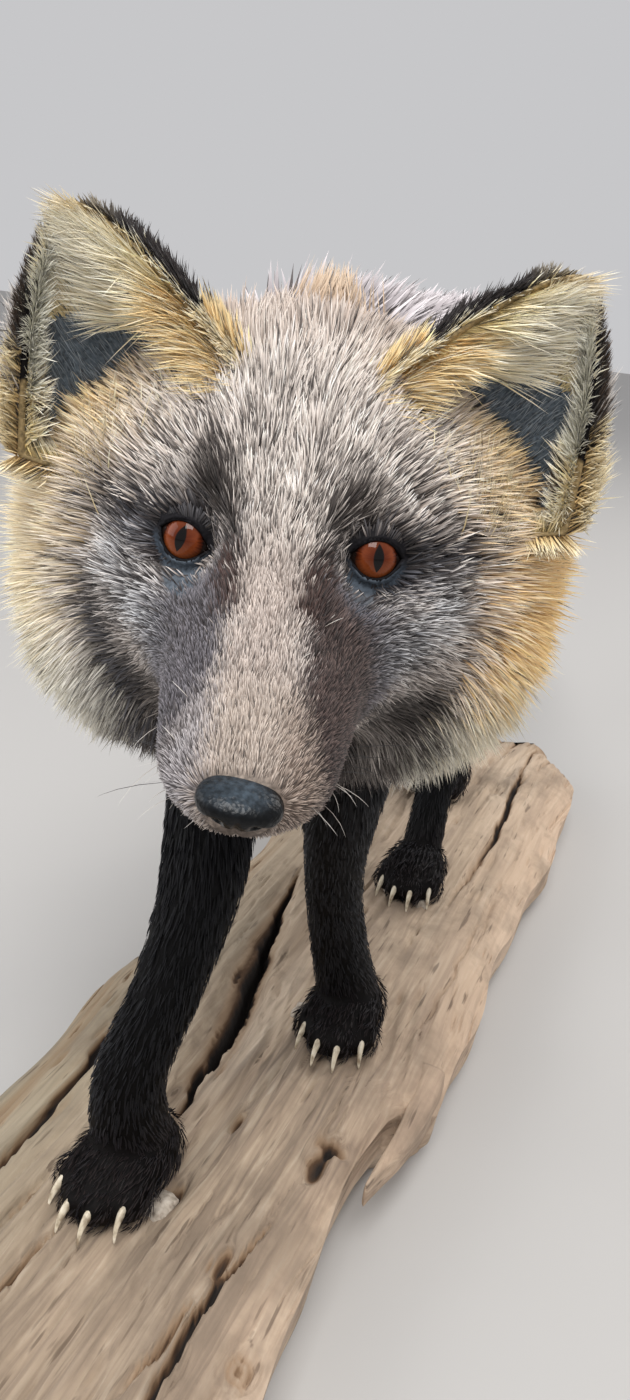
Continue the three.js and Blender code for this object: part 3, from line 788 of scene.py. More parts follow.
def applied(piece, kind, **settings):
    """Adds a modifier to a piece with those settings and applies it at once."""
    modifier = piece.modifiers.new(kind.lower(), kind)
    for key, value in settings.items():
        setattr(modifier, key, value)
    bpy.context.view_layer.objects.active = piece
    with bpy.context.temp_override(object=piece, active_object=piece, selected_objects=[piece]):
        bpy.ops.object.modifier_apply(modifier=modifier.name)


VOXEL = 3.4 * MM  # fine enough for the toes
applied(skin, "REMESH", mode="VOXEL", voxel_size=VOXEL, use_smooth_shade=True)
applied(skin, "SMOOTH", factor=0.5, iterations=4)


EAR_ROWS, EAR_COLUMNS = 70, 44  # columns on the back of the cup, and as many again inside it


def ear_grid(side):
    """Closed rings of an ear: back of the cup from rim to rim, then the inside of the cup and back."""
    s = np.linspace(-0.16, 0.985, EAR_ROWS)
    w = np.linspace(-1, 1, EAR_COLUMNS)
    outer = ear_surface(side, *np.meshgrid(s, w, indexing="ij"), EAR_COAT)
    inner = ear_surface(side, *np.meshgrid(s, w[::-1], indexing="ij"), EAR_COAT + EAR_WALL)
    return posed(np.concatenate([outer, inner], axis=1))


LID_STEPS, LID_COLUMNS, LID_RADIUS = 96, 8, 0.55


def lid_rim(side):
    """The moist margin of the lids: a thin tube round the almond, lying on the eyeball."""
    middle, outward, slit, up = eye_axes(side)
    t = np.linspace(0, 2 * np.pi, LID_STEPS + 1)[:-1]
    a = LID_GAP[0] * np.cos(t)
    b = np.where(np.sin(t) > 0, LID_GAP[1], -LID_GAP[2]) * (1 - np.abs(np.cos(t)) ** 2.2)
    ahead = np.sqrt(np.maximum(EYE_RADIUS**2 - a**2 - b**2, 1))
    ray = unit(a[:, None] * slit + b[:, None] * up + ahead[:, None] * outward)
    centre = middle + ray * (EYE_RADIUS + 0.45)
    along = unit(np.roll(centre, -1, axis=0) - np.roll(centre, 1, axis=0))
    across = np.cross(along, ray)
    angle = np.linspace(0, 2 * np.pi, LID_COLUMNS + 1)[:-1, None]
    ring = np.cos(angle) * ray[:, None] + 1.25 * np.sin(angle) * across[:, None]
    return posed(centre[:, None] + LID_RADIUS * ring)


def layered(base, *coats):
    """Three colours (root, middle, tip) for every place: each coat is a mask with its own three colours."""
    tones = []
    for k in range(3):
        tone = np.broadcast_to(srgb(base[k]), (len(coats[0][0]), 3)).copy()
        for mask, *colours in coats:
            tone += mask[:, None] * (srgb(colours[k]) - tone)
        tones.append(tone)
    return tones


def strip(points, start, end, size):
    """1 along a mirrored line between two places on the head, falling off as a bell of that size."""
    start, end = np.array(start, float), np.array(end, float)
    from_start = mirrored(points) - start
    share = np.clip((from_start @ (end - start)) / ((end - start) ** 2).sum(), 0, 1)
    off = np.linalg.norm(from_start - share[..., None] * (end - start), axis=-1)
    return np.exp(-((off / size) ** 2))


def eye_distance(points):
    """Distance on the face from the nearer eye's middle, and the unit vector away from it."""
    away = mirrored(points) - np.array([28.2, 0, 0])
    distance = np.linalg.norm(away, axis=-1)
    away = away / np.maximum(distance, 1e-6)[..., None]
    away[..., 0] *= np.sign(points[..., 0])
    return distance, away


def either(*masks):
    """The strongest of several masks at each place."""
    return np.max(masks, axis=0)


def head_colours(p):
    """Root, middle and tip colours over the head, in its own coordinates."""
    x, y, z = p[:, 0], p[:, 1], p[:, 2]
    wide, ahead = np.abs(x), -y
    half = np.interp(ahead, [10, 33, 55, 66], [8.5, 8.0, 10.5, 14])
    bridge = smoothstep(ahead, 4, 24) * (1 - smoothstep(np.abs(x + 0.8), half - 5, half + 5)) * (z > -36)
    flank = smoothstep(ahead, -2, 14) * smoothstep(wide, 8, 14)
    left_flank = flank * (x > 0) * smoothstep(ahead, 8, 26)
    muzzle_end = smoothstep(ahead - np.maximum(wide - 9, 0) * np.where(x > 0, 1.9, 1.0), 44, 62)
    nape = smoothstep(y, 36, 58) * smoothstep(z, 0, 20)
    ruff = smoothstep(wide, 46, 70) * smoothstep(y, 14, 34)
    low_cheek = smoothstep(-z, 45, 70) * smoothstep(y, 10, 30) * smoothstep(wide, 34, 48)
    throat = smoothstep(-z, 58, 76) * (1 - smoothstep(wide, 26, 44)) * smoothstep(y, -35, 0)
    # Painted shade in the gap between the jaw and the cheek ruff.
    jaw_gap_shade = either(
        near(p, (41, 12, -58), (13, 16, 15)), near(p, (34, -7, -52), (11, 13, 9)),
        one_sided(p, (-37, 28, -84), (11, 14, 17)), one_sided(p, (-49, 17, -40), (7, 8, 9)),
        strip(p, (48, 22, -60), (41, 31, -86), 8.0) * (x > 0),
    )
    gold = one_sided(p, (86, 46, -30), (26, 26, 30)) + 0.5 * one_sided(p, (-84, 44, -2), (20, 20, 22))
    under_ear = near(p, (56, 44, 14), (17, 18, 14))
    # Painted shade under the cheek on the head's right side, along the edge of the ruff.
    shade_under_cheek = either(
        strip(p, (50, 18, -36), (42, 18, -58), 5.5), strip(p, (42, 18, -58), (39, 29, -84), 5.5)
    )
    pale_cheek = one_sided(p, (-58, 29, -64), (9, 12, 20))
    frosted = either(near(p, (38, -2, -24), (13, 13, 10)), near(p, (45, 9, -17), (9, 10, 8)))
    distance, _ = eye_distance(p)
    ring = 1 - smoothstep(distance, 8.5, 13)
    crease = np.minimum(2.6 * strip(p, (35, 6, 1), (57, 24, -6), 3.6), 1)
    slate = np.minimum(1.6 * strip(p, (25, -12, -6), (46, 11, -5), 5.0), 1)
    right_lid = one_sided(p, (-29, 3, 8), (10, 6, 5))
    leaning = p + np.array([2.2, 0, 0]) * (x > 0)[:, None]
    inner = either(
        strip(leaning, (22, 12, 19), (18, -1, 10.5), 4.6), strip(leaning, (18, -1, 10.5), (15, -14, 1.5), 3.8)
    )
    inner = np.minimum(2.2 * inner, 1) * np.where(x > 0, 1 - smoothstep(y, 4, 11), 1)
    tear = np.minimum(2.2 * strip(leaning, (15, -14, 1.5), (11.5, -28, -4), 3.4), 1)
    return layered(
        ("584c48", "bbafa6", "f7ede5"),
        (nape * 0.9, "54453d", "8f7d72", "c4b4a8"),
        (ruff * (x > 0), "8f6a3a", "d6ab66", "f5dba8"),
        (ruff * (x <= 0), "8f7548", "dcc18c", "faeed2"),
        (np.clip(gold, 0, 1), "96662e", "d6a053", "f0cf95"),
        (under_ear, "a0713a", "d9ae6c", "f2dcae"),
        (low_cheek * 0.75, "4d4a42", "a8a596", "e6e3d4"),
        (bridge, "7b6e67", "a6988f", "dbcec6"),
        (flank * 0.95, "1f1d22", "403d44", "807c84"),
        (left_flank * 0.9, "1d1514", "3b2c28", "715d55"),
        (muzzle_end * (z > -36) * 0.95, "83766d", "ac9d91", "d6c9be"),
        (muzzle_end * smoothstep(x, 4, 13) * 0.8, "3d302a", "7d6a5e", "b5a294"),
        (muzzle_end * smoothstep(-x, 6, 15) * 0.7, "4c4b52", "8b8990", "c6c4cb"),
        (muzzle_end * (z <= -36) * 0.8, "3a322e", "6d6058", "9d9086"),
        (pale_cheek * 0.75, "6a6763", "cbc7be", "f8f5ec"),
        (throat, "151212", "211c1b", "3a322f"),
        (np.minimum(1.5 * jaw_gap_shade, 1) * 0.95, "110f0f", "201a18", "3c332e"),
        (frosted * 0.9, "1b1d25", "83868f", "ffffff"),
        (shade_under_cheek * (x < 0) * 0.9, "101014", "24242b", "66676f"),
        (slate * 0.85, "292b34", "4a4d58", "7a7d86"),
        (right_lid * 0.75, "20222b", "464953", "888a94"),
        (ring * 0.9, "17171c", "26272e", "44464f"),
        (crease * 0.95, "0c0c10", "15151b", "2c2c34"),
        (inner * 0.95, "0e0b0b", "1c1615", "3d332c"),
        (tear * 0.95, "190c0a", "33201b", "56403a"),
    )


def trunk_colours(p):
    """Root, middle and tip colours over the trunk, by height round it and distance along it."""
    x, y, z = (p - np.array([BODY_X, 0, 262])).T
    turn = np.arctan2(z, np.abs(x))
    flank = smoothstep(turn, -0.5, 0.1) * (1 - smoothstep(turn, 0.55, 1.0))
    belly = 1 - smoothstep(turn, -0.75, -0.2)
    spine = np.exp(-((x / 13) ** 2)) * (z > 0) * (1 - smoothstep(y, 150, 260))
    shoulder = np.exp(-(((y + 62) / 24) ** 2)) * smoothstep(turn, -0.7, 0.2)
    breast = 1 - smoothstep(y, -128, -108)
    return layered(
        ("4a4347", "a59ca1", "ece6e8"),
        (flank * 0.75, "6d5233", "c09a62", "ead3a4"),
        (spine * 0.6, "2e292b", "665d60", "a89ea0"),
        (shoulder * 0.65, "282324", "50484a", "948a8a"),
        (belly, "141213", "201c1d", "3a3332"),
        (breast, "121011", "1c1819", "332c2b"),
    )


def leg_colours(p, high):
    """Black with a cold cast, greyed into the trunk's colours at the top and browned near the ground."""
    low = 1 - smoothstep(p[:, 2], 8, 50)
    return layered(
        ("060607", "0a090b", "111015"),
        (low * 0.75, "0f0a09", "1d1514", "332825"),
        (high * 0.5, "1c1819", "332d2e", "5f5654"),
        (high * 0.7 * (p[:, 1] > 100), "3b3029", "6d5d4b", "b09a7b"),
    )


def tail_colours(p):
    """Grey-brown with dark tips, greyer with pale tips near the root, and white past the last tenth of its
    length.
    """
    white = smoothstep(p[:, 1] - 0.25 * np.abs(p[:, 0] + 60), 585, 600)
    return layered(
        ("4a4240", "81766c", "5d5350"),
        (smoothstep(-p[:, 1], -420, -300) * 0.5, "3a3437", "7d7579", "b7adb0"),
        (white, "b9b0a4", "e6e0d5", "f4f0e8"),
    )


# The hide is dyed like the coat over it: bare and slate-blue in the ears and at the tear ducts.
def ear_leather(grid):
    """Slate-blue inside the cup, black on the back, paler or golden by turns along the rims."""
    row, column = np.divmod(np.arange(len(with_hubs(grid))), 2 * EAR_COLUMNS)
    inside = (column > EAR_COLUMNS) & (column < 2 * EAR_COLUMNS - 1)
    tone = np.where(inside[:, None], srgb("737f8a"), srgb("1b1718"))
    places = [
        ((row < 26) & ~inside, "94744a"),  # root of the back
        ((row < 32) & (column > 36) & (column < 52), "a8926a"),  # lower outer rim
        ((column < 2) | (column > 85), "c4ae86"),  # medial rim
        ((row < 32) & ((column < 8) | (column > 80)), "b08a55"),  # foot of the medial rim
    ]
    for where, colour in places:
        tone = np.where(where[:, None], srgb(colour), tone)
    return tone


def tinted(piece, colours):
    """Stores one colour for every corner of a piece, as its `tint`."""
    values = np.ones((len(piece.data.vertices), 4), np.float32)
    values[:, :3] = colours
    kept_values(piece, "tint", "FLOAT_COLOR", "color", values)


def body_hide(points):
    """The middle colour of the coat nearest to each place on the body."""
    trunk = trunk_colours(points)[1]
    y, z = points[:, 1], points[:, 2]
    leg = leg_colours(points, smoothstep(z, 170, 240))[1] * np.interp(z, [60, 150], [0.45, 1])[:, None]
    tail = tail_colours(points)[1]
    on_leg = (1 - smoothstep(z, 175, 200)) * (y < 330)
    behind = smoothstep(y, 275, 300)
    hide = trunk + on_leg[:, None] * (leg - trunk)
    return hide + (behind * (1 - on_leg))[:, None] * (tail - hide)


def head_hide(local):
    """The middle colour of the coat on the head; dark on the lids and lips, blue-grey at the tear ducts."""
    hide = head_colours(local)[1] * 0.85
    for side in (-1, 1):
        middle, _, slit, up = eye_axes(side)
        a, b = (local - middle) @ slit, (local - middle) @ up
        close = np.abs(local - EYE_FRONT[side]).max(axis=1) < 22
        lid = (1 - smoothstep(np.hypot(a, b), 9.5, 12.5)) * close
        lower = smoothstep(-b, 0, 5)[:, None]
        hide = hide + lid[:, None] * (srgb("1a181c") + lower * (srgb("4b545f") - srgb("1a181c")) - hide)
        duct = (1 - smoothstep(np.hypot((a + 3.8) / 7.6, (b + 9.8) / 6.6), 0.75, 1.1)) * close
        hide = hide + (duct * (0.9 if side < 0 else 0.6))[:, None] * (srgb("626c77") - hide)
    lips = np.exp(-(((local[:, 2] - mouth_line(local[:, 1])) / 1.8) ** 2)) * smoothstep(-local[:, 1], 17, 26)
    return hide + (lips * (local[:, 2] < -30))[:, None] * (srgb("120e0f") - hide)


def hide_material():
    """Tanned hide: its dyed colour under a fine streaky nap that lies back along the body."""
    material = plain_material("hide", "808080", 0.65)
    tree = material.node_tree
    tones = ((0.25, "909090"), (0.4987, "d1d1d1"), (0.75, "ffffff"))
    nap = mottled(tree, object_place(tree, (900, 160, 900)), 1.0, 3.0, tones)
    colour = mixed(tree, 1.0, named_value(tree, "tint", "Color"), nap["Color"], "MULTIPLY")
    return dressed(material, colour, (nap["Height"], 0.35, 0.0004), {"Specular IOR Level": 0.12})


corners = np.empty(len(skin.data.vertices) * 3, np.float32)
skin.data.vertices.foreach_get("co", corners)
tinted(skin, body_hide(corners.reshape(-1, 3) / MM - np.array([0, 0, SLAB_TOP])))
ears = [ear_grid(side) for side in (-1, 1)]
head = closed_form("head", [head_grid, *ears])
tinted(head, np.concatenate([head_hide(unposed(with_hubs(head_grid)))] + [ear_leather(ear) for ear in ears]))
rims = np.concatenate([lid_rim(side) for side in (-1, 1)])
rim_size = LID_STEPS * LID_COLUMNS
rim_faces = grid_faces(LID_STEPS + 1, LID_COLUMNS) % rim_size
lids = mesh_piece("lids", raised(rims.reshape(-1, 3)), np.concatenate([rim_faces, rim_faces + rim_size]))
tinted(lids, srgb("141216"))
with bpy.context.temp_override(object=skin, active_object=skin, selected_editable_objects=[skin, head, lids]):
    bpy.ops.object.join()
skin.data.materials.clear()
skin.data.materials.append(hide_material())
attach(skin, "root")
flesh = [f"{leg}_{part}" for leg in LEG_KEYS for part in ("lower_leg", "upper_leg", "paw")]
flesh += ["muzzle", "face", "ruff", "neck", "chest", "belly", "rump", "ear_right", "ear_left"]
flesh += ["tail_root", "tail_brush", "tail_tip"]
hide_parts(*flesh)


# ---------------------------------------------------------------- glass eyes
# Blown glass with a painted orange-brown iris, dark at its rim, and an upright slit pupil,
# set in clay behind the lids. Clear glass bulges a little over the iris.
# A painted shadow of the upper lid darkens the top of each eye, and painted light brightens the lower half of
# the iris.
def round_ball(rows, columns):
    """A ball of radius 1 on a grid that stays a little off its poles."""
    return ball((0, 0, 0), (1, 1, 1), *grid_uv(rows, columns, 0.01, 0.99))


def maths(tree, operation, *values):
    """One maths node, its inputs given in order as numbers or sockets."""
    return node(tree, "ShaderNodeMath", dict(enumerate(values)), operation=operation).outputs[0]


def glass_eye_material():
    """Iris by distance from the gaze line, fibres by noise round it, a slit pupil, a painted shadow of the
    upper lid over the top and painted light in the iris's lower half, all under clear gloss.
    """
    material = plain_material("glass_eye", "120a08", 0.05)
    tree = material.node_tree
    gaze = named_value(tree, "gaze", "Vector")
    a, b, _ = node(tree, "ShaderNodeSeparateXYZ", {"Vector": gaze}).outputs
    flat = node(tree, "ShaderNodeCombineXYZ", {"X": a, "Y": b}).outputs[0]
    radius = node(tree, "ShaderNodeVectorMath", {0: flat}, operation="LENGTH").outputs["Value"]
    direction = node(tree, "ShaderNodeVectorMath", {0: flat}, operation="NORMALIZE").outputs[0]
    fibres = maths(tree, "SUBTRACT", noise(tree, direction, 9.0, 5.0), 0.5)
    level = maths(tree, "ADD", radius, maths(tree, "MULTIPLY", fibres, 0.22))
    stops = [(0.10, "46190a"), (0.26, "5c2610"), (0.44, "77381c"), (0.55, "481c0c"), (0.63, "120604")]
    # Painted light: the lower half of the iris is lighter, where light through the clear glass would gather.
    iris = mixed(tree, between(tree, b, 0.0, -1 / 1.1), ramp(tree, level, stops), rgba("8f4c26"))
    narrowed = maths(tree, "SUBTRACT", 1.0, maths(tree, "POWER", maths(tree, "DIVIDE", b, 0.4), 2.0))
    half_width = maths(tree, "MULTIPLY", 0.145, narrowed)
    slit = maths(tree, "SUBTRACT", half_width, maths(tree, "ABSOLUTE", a))
    colour = mixed(tree, between(tree, slit, -0.012, 0.012), iris, (0.004, 0.003, 0.003, 1))
    # Dark glass past the iris's rim, then a painted shadow of the upper lid over the top of the eye.
    for follows, start, full, strength in ((radius, 0.6, 0.65, 1.0), (b, 0.15, 0.6, 0.75)):
        rim_dark_and_lid_shadow = between(tree, follows, start, full, strength)
        colour = mixed(tree, rim_dark_and_lid_shadow, colour, (0.010, 0.006, 0.005, 1))
    gloss = {"Coat Weight": 0.5, "Coat IOR": 1.45, "Coat Roughness": 0.02, "Specular IOR Level": 0.0}
    return dressed(material, colour, values=gloss)


glass = glass_eye_material()
for side, eye_name in ((-1, "glass_eye_right"), (1, "glass_eye_left")):
    middle, outward, slit, up = eye_axes(side)
    ball_points = round_ball(70, 90)
    lean = np.degrees(np.arccos(np.clip(ball_points[..., 2], -1, 1)))
    bulge = EYE_RADIUS - 0.1 + 0.75 * np.clip(1 - (lean / 38) ** 2, 0, 1)
    eye_points = middle + (ball_points * bulge[..., None]) @ np.stack([slit * side, up, outward])
    eye = mesh_piece(eye_name, raised(posed(with_hubs(eye_points))), capped(70, 90), glass)
    kept_values(eye, "gaze", "FLOAT_VECTOR", "vector", with_hubs(ball_points))
    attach(eye, "root")
    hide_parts(eye_name.replace("glass_", ""))


# ---------------------------------------------------------------- nose leather
# The bare black pad: waxed and painted hide, pebbled, flat on top, with comma nostrils that
# open to the sides and a groove down its middle.
# The blue-grey on the pad's top is a painted sheen, set in its stored tint.
NOSE_AT, NOSE_RADII = np.array([0, -79.5, -27.2]), np.array([10.9, 7.9, 5.0])


def nose_surface(p):
    """A ball squared on top, with nostril pits drawn out to the sides and a groove below the middle."""
    p = np.sign(p) * np.abs(p) ** 0.9
    points = p * NOSE_RADII
    x, y, z = np.abs(points[..., 0]), points[..., 1], points[..., 2]
    points[..., 2] -= 0.4 * smoothstep(z, 2.0, 5.0)
    front = smoothstep(-y, -1, 4)
    bend = -1.9 - 0.25 * np.maximum(x - 5, 0)
    nostril = np.exp(-(((z - bend) / (1.5 - 0.08 * x)) ** 2))
    nostril = nostril * smoothstep(x, 2.6, 4.6) * (1 - smoothstep(x, 8.0, 9.8))
    groove = np.exp(-((x / 0.7) ** 2)) * smoothstep(-z, -2, 2)
    points[..., 1] += front * (2.6 * nostril + 0.8 * groove)
    points[..., 2] -= 0.09 * points[..., 0]
    points[..., 0] *= 1 - 0.1 * smoothstep(-z, 1, 7)
    return NOSE_AT + points


def nose_material():
    """Black hide: a close pebble from cells, over its stored tint, which carries a painted blue-grey sheen on
    top.
    """
    material = plain_material("nose_leather", "17181b", 0.3)
    tree = material.node_tree
    place = object_place(tree)
    cells = node(tree, "ShaderNodeTexVoronoi", {"Vector": place, "Scale": 950.0}).outputs["Distance"]
    tones = ((0.35, "9c9c9c"), (0.5246, "d5d5d5"), (0.7, "ffffff"))
    speckle = mottled(tree, place, 640.0, 3.0, tones)
    colour = mixed(tree, 1.0, named_value(tree, "tint", "Color"), speckle["Color"], "MULTIPLY")
    height = maths(tree, "ADD", cells, speckle["Height"])
    return dressed(material, colour, (height, 0.45, 0.0003), {"Specular IOR Level": 0.22})


nose_grid = nose_surface(round_ball(100, 130))
nose = mesh_piece("nose_pad", raised(posed(with_hubs(nose_grid))), capped(100, 130), nose_material())
across, _, level = (with_hubs(nose_grid) - NOSE_AT).T
# Painted sheen: the top is tinted blue-grey where the overhead light would glance off it, more towards the
# head's left.
painted_sheen = smoothstep(level, 1.8, 5.2) * (0.5 + 0.5 * smoothstep(across, -7, 5))
tinted(nose, srgb("06080b") + painted_sheen[:, None] * (srgb("4a5661") - srgb("06080b")))
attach(nose, "root")
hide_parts("nose_leather")


# ---------------------------------------------------------------- claws
# The fox's own claws: curved ivory horn, darker in patches, one to each toe.
# They stay seated in the dried skin of the toes.
def claw_rings(place):
    """Ovals along an arc from the toe forward and down, tapering to a blunt point."""
    t = np.linspace(0, 1, 14)[:, None]
    angle = np.linspace(0, 2 * np.pi, 12, endpoint=False)[None, :]
    radius = 2.5 * (1 - t) ** 0.6 + 0.3
    forward, drop = 7.8 * np.sin(1.45 * t), 10.2 * (1 - np.cos(1.45 * t))
    x = place * 4.8 / PAW_WIDTH * t + 0.62 * radius * np.cos(angle)
    y = -forward + 0.35 * radius * np.sin(angle) * t
    z = -drop + radius * np.sin(angle) + 1.2
    return np.stack(np.broadcast_arrays(x, y, z), axis=-1)


def claw_material():
    """Ivory horn, darker in patches."""
    material = plain_material("claw_horn", "cfc4ae", 0.38)
    tree = material.node_tree
    tones = ((0.3, "8d7c66"), (0.5, "cbbfa8"), (0.7, "ddd4c2"))
    return dressed(material, mottled(tree, object_place(tree), 260.0, 3.0, tones)["Color"])


claw_grids = []
for leg in LEG_KEYS:
    for place, reach in TOES:
        root = np.array([place, -reach - TOE * 0.75, PAW_HEIGHT * 0.3 + 0.5])
        claw_grids.append(stepped(leg, claw_rings(place) + root))
claws = closed_form("claws", claw_grids, claw_material())
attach(claws, "root")


# ---------------------------------------------------------------- filler lumps
# Grey-cream filler pressed into the wood where wires from the feet go down through it: rough
# little mounds set by hand beside the paws.
def filler_mound(x, y, radii, seed):
    """A flattened ball, swollen and dented by smooth noise, sunk by half into the slab's top."""
    p = round_ball(30, 40)
    swell = 1 + 0.2 * value_noise(2.5 * p[..., 0] + seed, 2.5 * p[..., 1] + 1.5 * p[..., 2] + seed, 23)
    return np.array([x, y, slab_height(np.array(x), np.array(y))]) + p * swell[..., None] * np.array(radii)


def filler_material():
    """Matt filler, blotched and a little crumbly."""
    material = plain_material("filler", "b5a99b", 0.9)
    tree = material.node_tree
    tones = ((0.3, "7f7468"), (0.5, "b1a597"), (0.7, "c9bfb2"))
    blotch = mottled(tree, object_place(tree), 330.0, 4.0, tones)
    return dressed(material, blotch["Color"], (blotch["Height"], 0.6, 0.0008))


mounds = [
    filler_mound(-13, -177, (7, 9, 5), 1), filler_mound(-9, -37, (6, 7, 5), 2),
    filler_mound(-7, 100, (7, 6, 6), 3), filler_mound(13, 95, (5, 7, 5), 4),
    filler_mound(-42, 250, (6, 7, 4), 5),
]
filler = closed_form("filler_lumps", mounds, filler_material())
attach(filler, "root")


# ---------------------------------------------------------------- coat of the face
# Short winter fur in tufts over the muzzle, face and forehead: it runs back from the nose, parts
# round the eyes and lies closest on the muzzle; dark hairs stand among frosted ones.
def scatter(surface, spans, count, weight, rng, cells=(150, 220)):
    """Roots on surface(u, v): cells drawn by area times weight, a random place in each, with unit normals."""
    (u0, u1), (v0, v1) = spans
    us, vs = np.linspace(u0, u1, cells[0] + 1), np.linspace(v0, v1, cells[1] + 1)
    corners = surface(*np.meshgrid(us, vs, indexing="ij"))
    a, b, c, d = corners[:-1, :-1], corners[1:, :-1], corners[1:, 1:], corners[:-1, 1:]
    area = np.linalg.norm(np.cross(c - a, d - b), axis=-1) / 2
    share = (area * weight((a + b + c + d) / 4)).ravel()
    chosen = rng.choice(share.size, count, p=share / share.sum())
    u = us[chosen // cells[1]] + rng.random(count) * (us[1] - us[0])
    v = vs[chosen % cells[1]] + rng.random(count) * (vs[1] - vs[0])
    small = 1e-3  # step along the surface for its directions
    here = surface(u, v)
    back = (u + small > max(us[-1], us[0])).astype(float)
    du = (surface(u + small * (1 - 2 * back), v) - here) * (1 - 2 * back)[:, None]
    normal = unit(np.cross(du, surface(u, v + small * 0.2) - here))
    middle = corners.mean(axis=1)[chosen // cells[1]]
    sign = np.sign((normal * (here - middle)).sum())
    chart = np.stack([(u - u0) / (u1 - u0), (v - v0) / (v1 - v0)], axis=-1)
    return here, normal * sign, chart


def along_surface(direction, normal):
    """The part of a direction that lies in the surface, as a unit vector."""
    return unit(direction - (direction * normal).sum(axis=-1, keepdims=True) * normal)


# by how many pairs of corners a blade has: their places along it, and its share of full width there
BLADE_ROWS = {3: ([0, 0.38, 0.74], [0.75, 1.0, 0.62]), 4: ([0, 0.3, 0.6, 0.84], [0.65, 1.0, 0.82, 0.45])}
UV_MARGIN, UV_BLADE = 0.004, 0.003  # rim kept free round the chart, and each blade's size on it


def blades(name, coat, rows, rng, material):
    """Tapered blades: each bends from root lean to tip lean, rolls a little and narrows to a point."""
    parts = {key: np.concatenate([one[key] for one in coat]) for key in coat[0]}
    root, normal, flow, length = (parts[key] for key in ("root", "normal", "flow", "length"))
    count = len(root)
    length = length[:, None]
    lean, lean_end = parts["lean"][:, None], parts["lean_end"][:, None]
    start = np.cos(lean) * flow + np.sin(lean) * normal
    sag = parts["sag"][:, None] * np.array([0, 0, 1])
    end = unit(np.cos(lean_end) * flow + np.sin(lean_end) * normal - sag)
    across = unit(np.cross(start, normal))
    roll = rng.normal(0, 0.45, (count, 1))
    wide = np.cos(roll) * across + np.sin(roll) * np.cross(across, start)
    sway = rng.normal(0, 0.05, (count, 1)) * length
    steps, profile = BLADE_ROWS[rows]
    ladder = []
    for t, share in zip(steps + [1.0], profile + [0.0]):
        centre = root + length * (start * t + (end - start) * t * t / 2) + across * sway * t * t
        half = parts["width"][:, None] * share / 2
        ladder += [centre - wide * half, centre + wide * half] if share else [centre]
    corners = np.stack(ladder, axis=1)
    per = 2 * rows + 1
    first = np.arange(count)[:, None] * per
    k = 2 * np.arange(rows - 1)
    quads = (first[:, :, None] + np.stack([k, k + 1, k + 3, k + 2], axis=-1)[None]).reshape(-1, 4)
    tips = first + np.array([[2 * rows - 2, 2 * rows - 1, 2 * rows]])
    piece = mesh_piece(name, raised(corners.reshape(-1, 3)), [quads, tips], material)
    # Colour runs from root through middle to tip along each blade; the dark roots are partly the hair's own
    # darker base and partly painted shade among the roots.
    t = np.repeat(np.array(steps + [1.0]), [2] * rows + [1])
    low = np.clip(2 * t, 0, 1)[None, :, None]
    high = np.clip(2 * t - 1, 0, 1)[None, :, None]
    dark, mid, tip = (parts[key][:, None] for key in ("dark", "mid", "tip"))
    tinted(piece, (dark * (1 - low) + mid * (low - high) + tip * high).reshape(-1, 3))
    chart = UV_MARGIN + (1 - 3 * UV_MARGIN) * parts["chart"][:, None]
    side = np.array([0, 1] * rows + [0.5])
    uv = chart + UV_BLADE * np.stack([side, t], axis=-1)[None]
    loops = np.empty(len(piece.data.loops), np.int32)
    piece.data.loops.foreach_get("vertex_index", loops)
    layer = piece.data.uv_layers.new(name="OFBake")
    layer.data.foreach_set("uv", uv.reshape(-1, 2)[loops].astype(np.float32).ravel())
    return piece


def patch(found, flow, length, width, lean, lean_end, sag, colours, chart_at=(0, 0, 1, 1)):
    """One patch of coat for `blades`: a single number serves every tuft; the chart is fitted in its frame."""
    root, normal, chart = found
    fill = {"length": length, "width": width, "lean": lean, "lean_end": lean_end, "sag": sag}
    made = {key: np.broadcast_to(np.asarray(value, float), (len(root),)) for key, value in fill.items()}
    made.update(root=root, normal=normal, flow=along_surface(flow, normal))
    made.update(zip(("dark", "mid", "tip"), colours))
    made["chart"] = np.array(chart_at[:2]) + chart * np.array(chart_at[2:])
    return made


def head_patch(found, flow, *values, **more):
    """A patch whose roots, normals and flow are given in the head's coordinates."""
    root, normal, chart = found
    return patch((posed(root), normal @ HEAD_TURN.T, chart), flow @ HEAD_TURN.T, *values, **more)


def plain_tones(codes, count):
    """The same root, middle and tip colour for every tuft."""
    return [np.broadcast_to(srgb(code), (count, 3)) for code in codes]


def coat_material(name, roughness, sheen, specular=0.28, sheen_tint=(1, 1, 1, 1)):
    """Matt hair: the colour its tufts carry, with a faint sheen."""
    material = plain_material(name, "808080", roughness)
    values = {"Specular IOR Level": specular, "Sheen Weight": sheen, "Sheen Roughness": 0.5}
    values["Sheen Tint"] = sheen_tint
    return dressed(material, named_value(material.node_tree, "tint", "Color"), values=values)


def even(points):
    """The same weight everywhere."""
    return 1.0


def head_direction(p):
    """The lie of the hair: back from the nose, out over the forehead, round the eyes, down the cheeks."""
    x, y, z = p[:, 0], p[:, 1], p[:, 2]
    wide = np.abs(x)
    spread = 0.016 * x * smoothstep(y, -30, 20)
    down = -0.5 * smoothstep(-z, 8, 40) - 0.5 * smoothstep(wide, 55, 85)
    flow = np.stack([spread, np.ones_like(x), down + 0.25 * smoothstep(z, 0, 20)], axis=-1)
    distance, away = eye_distance(p)
    return unit(flow) + 1.6 * away * np.exp(-((distance / 13) ** 2))[:, None]


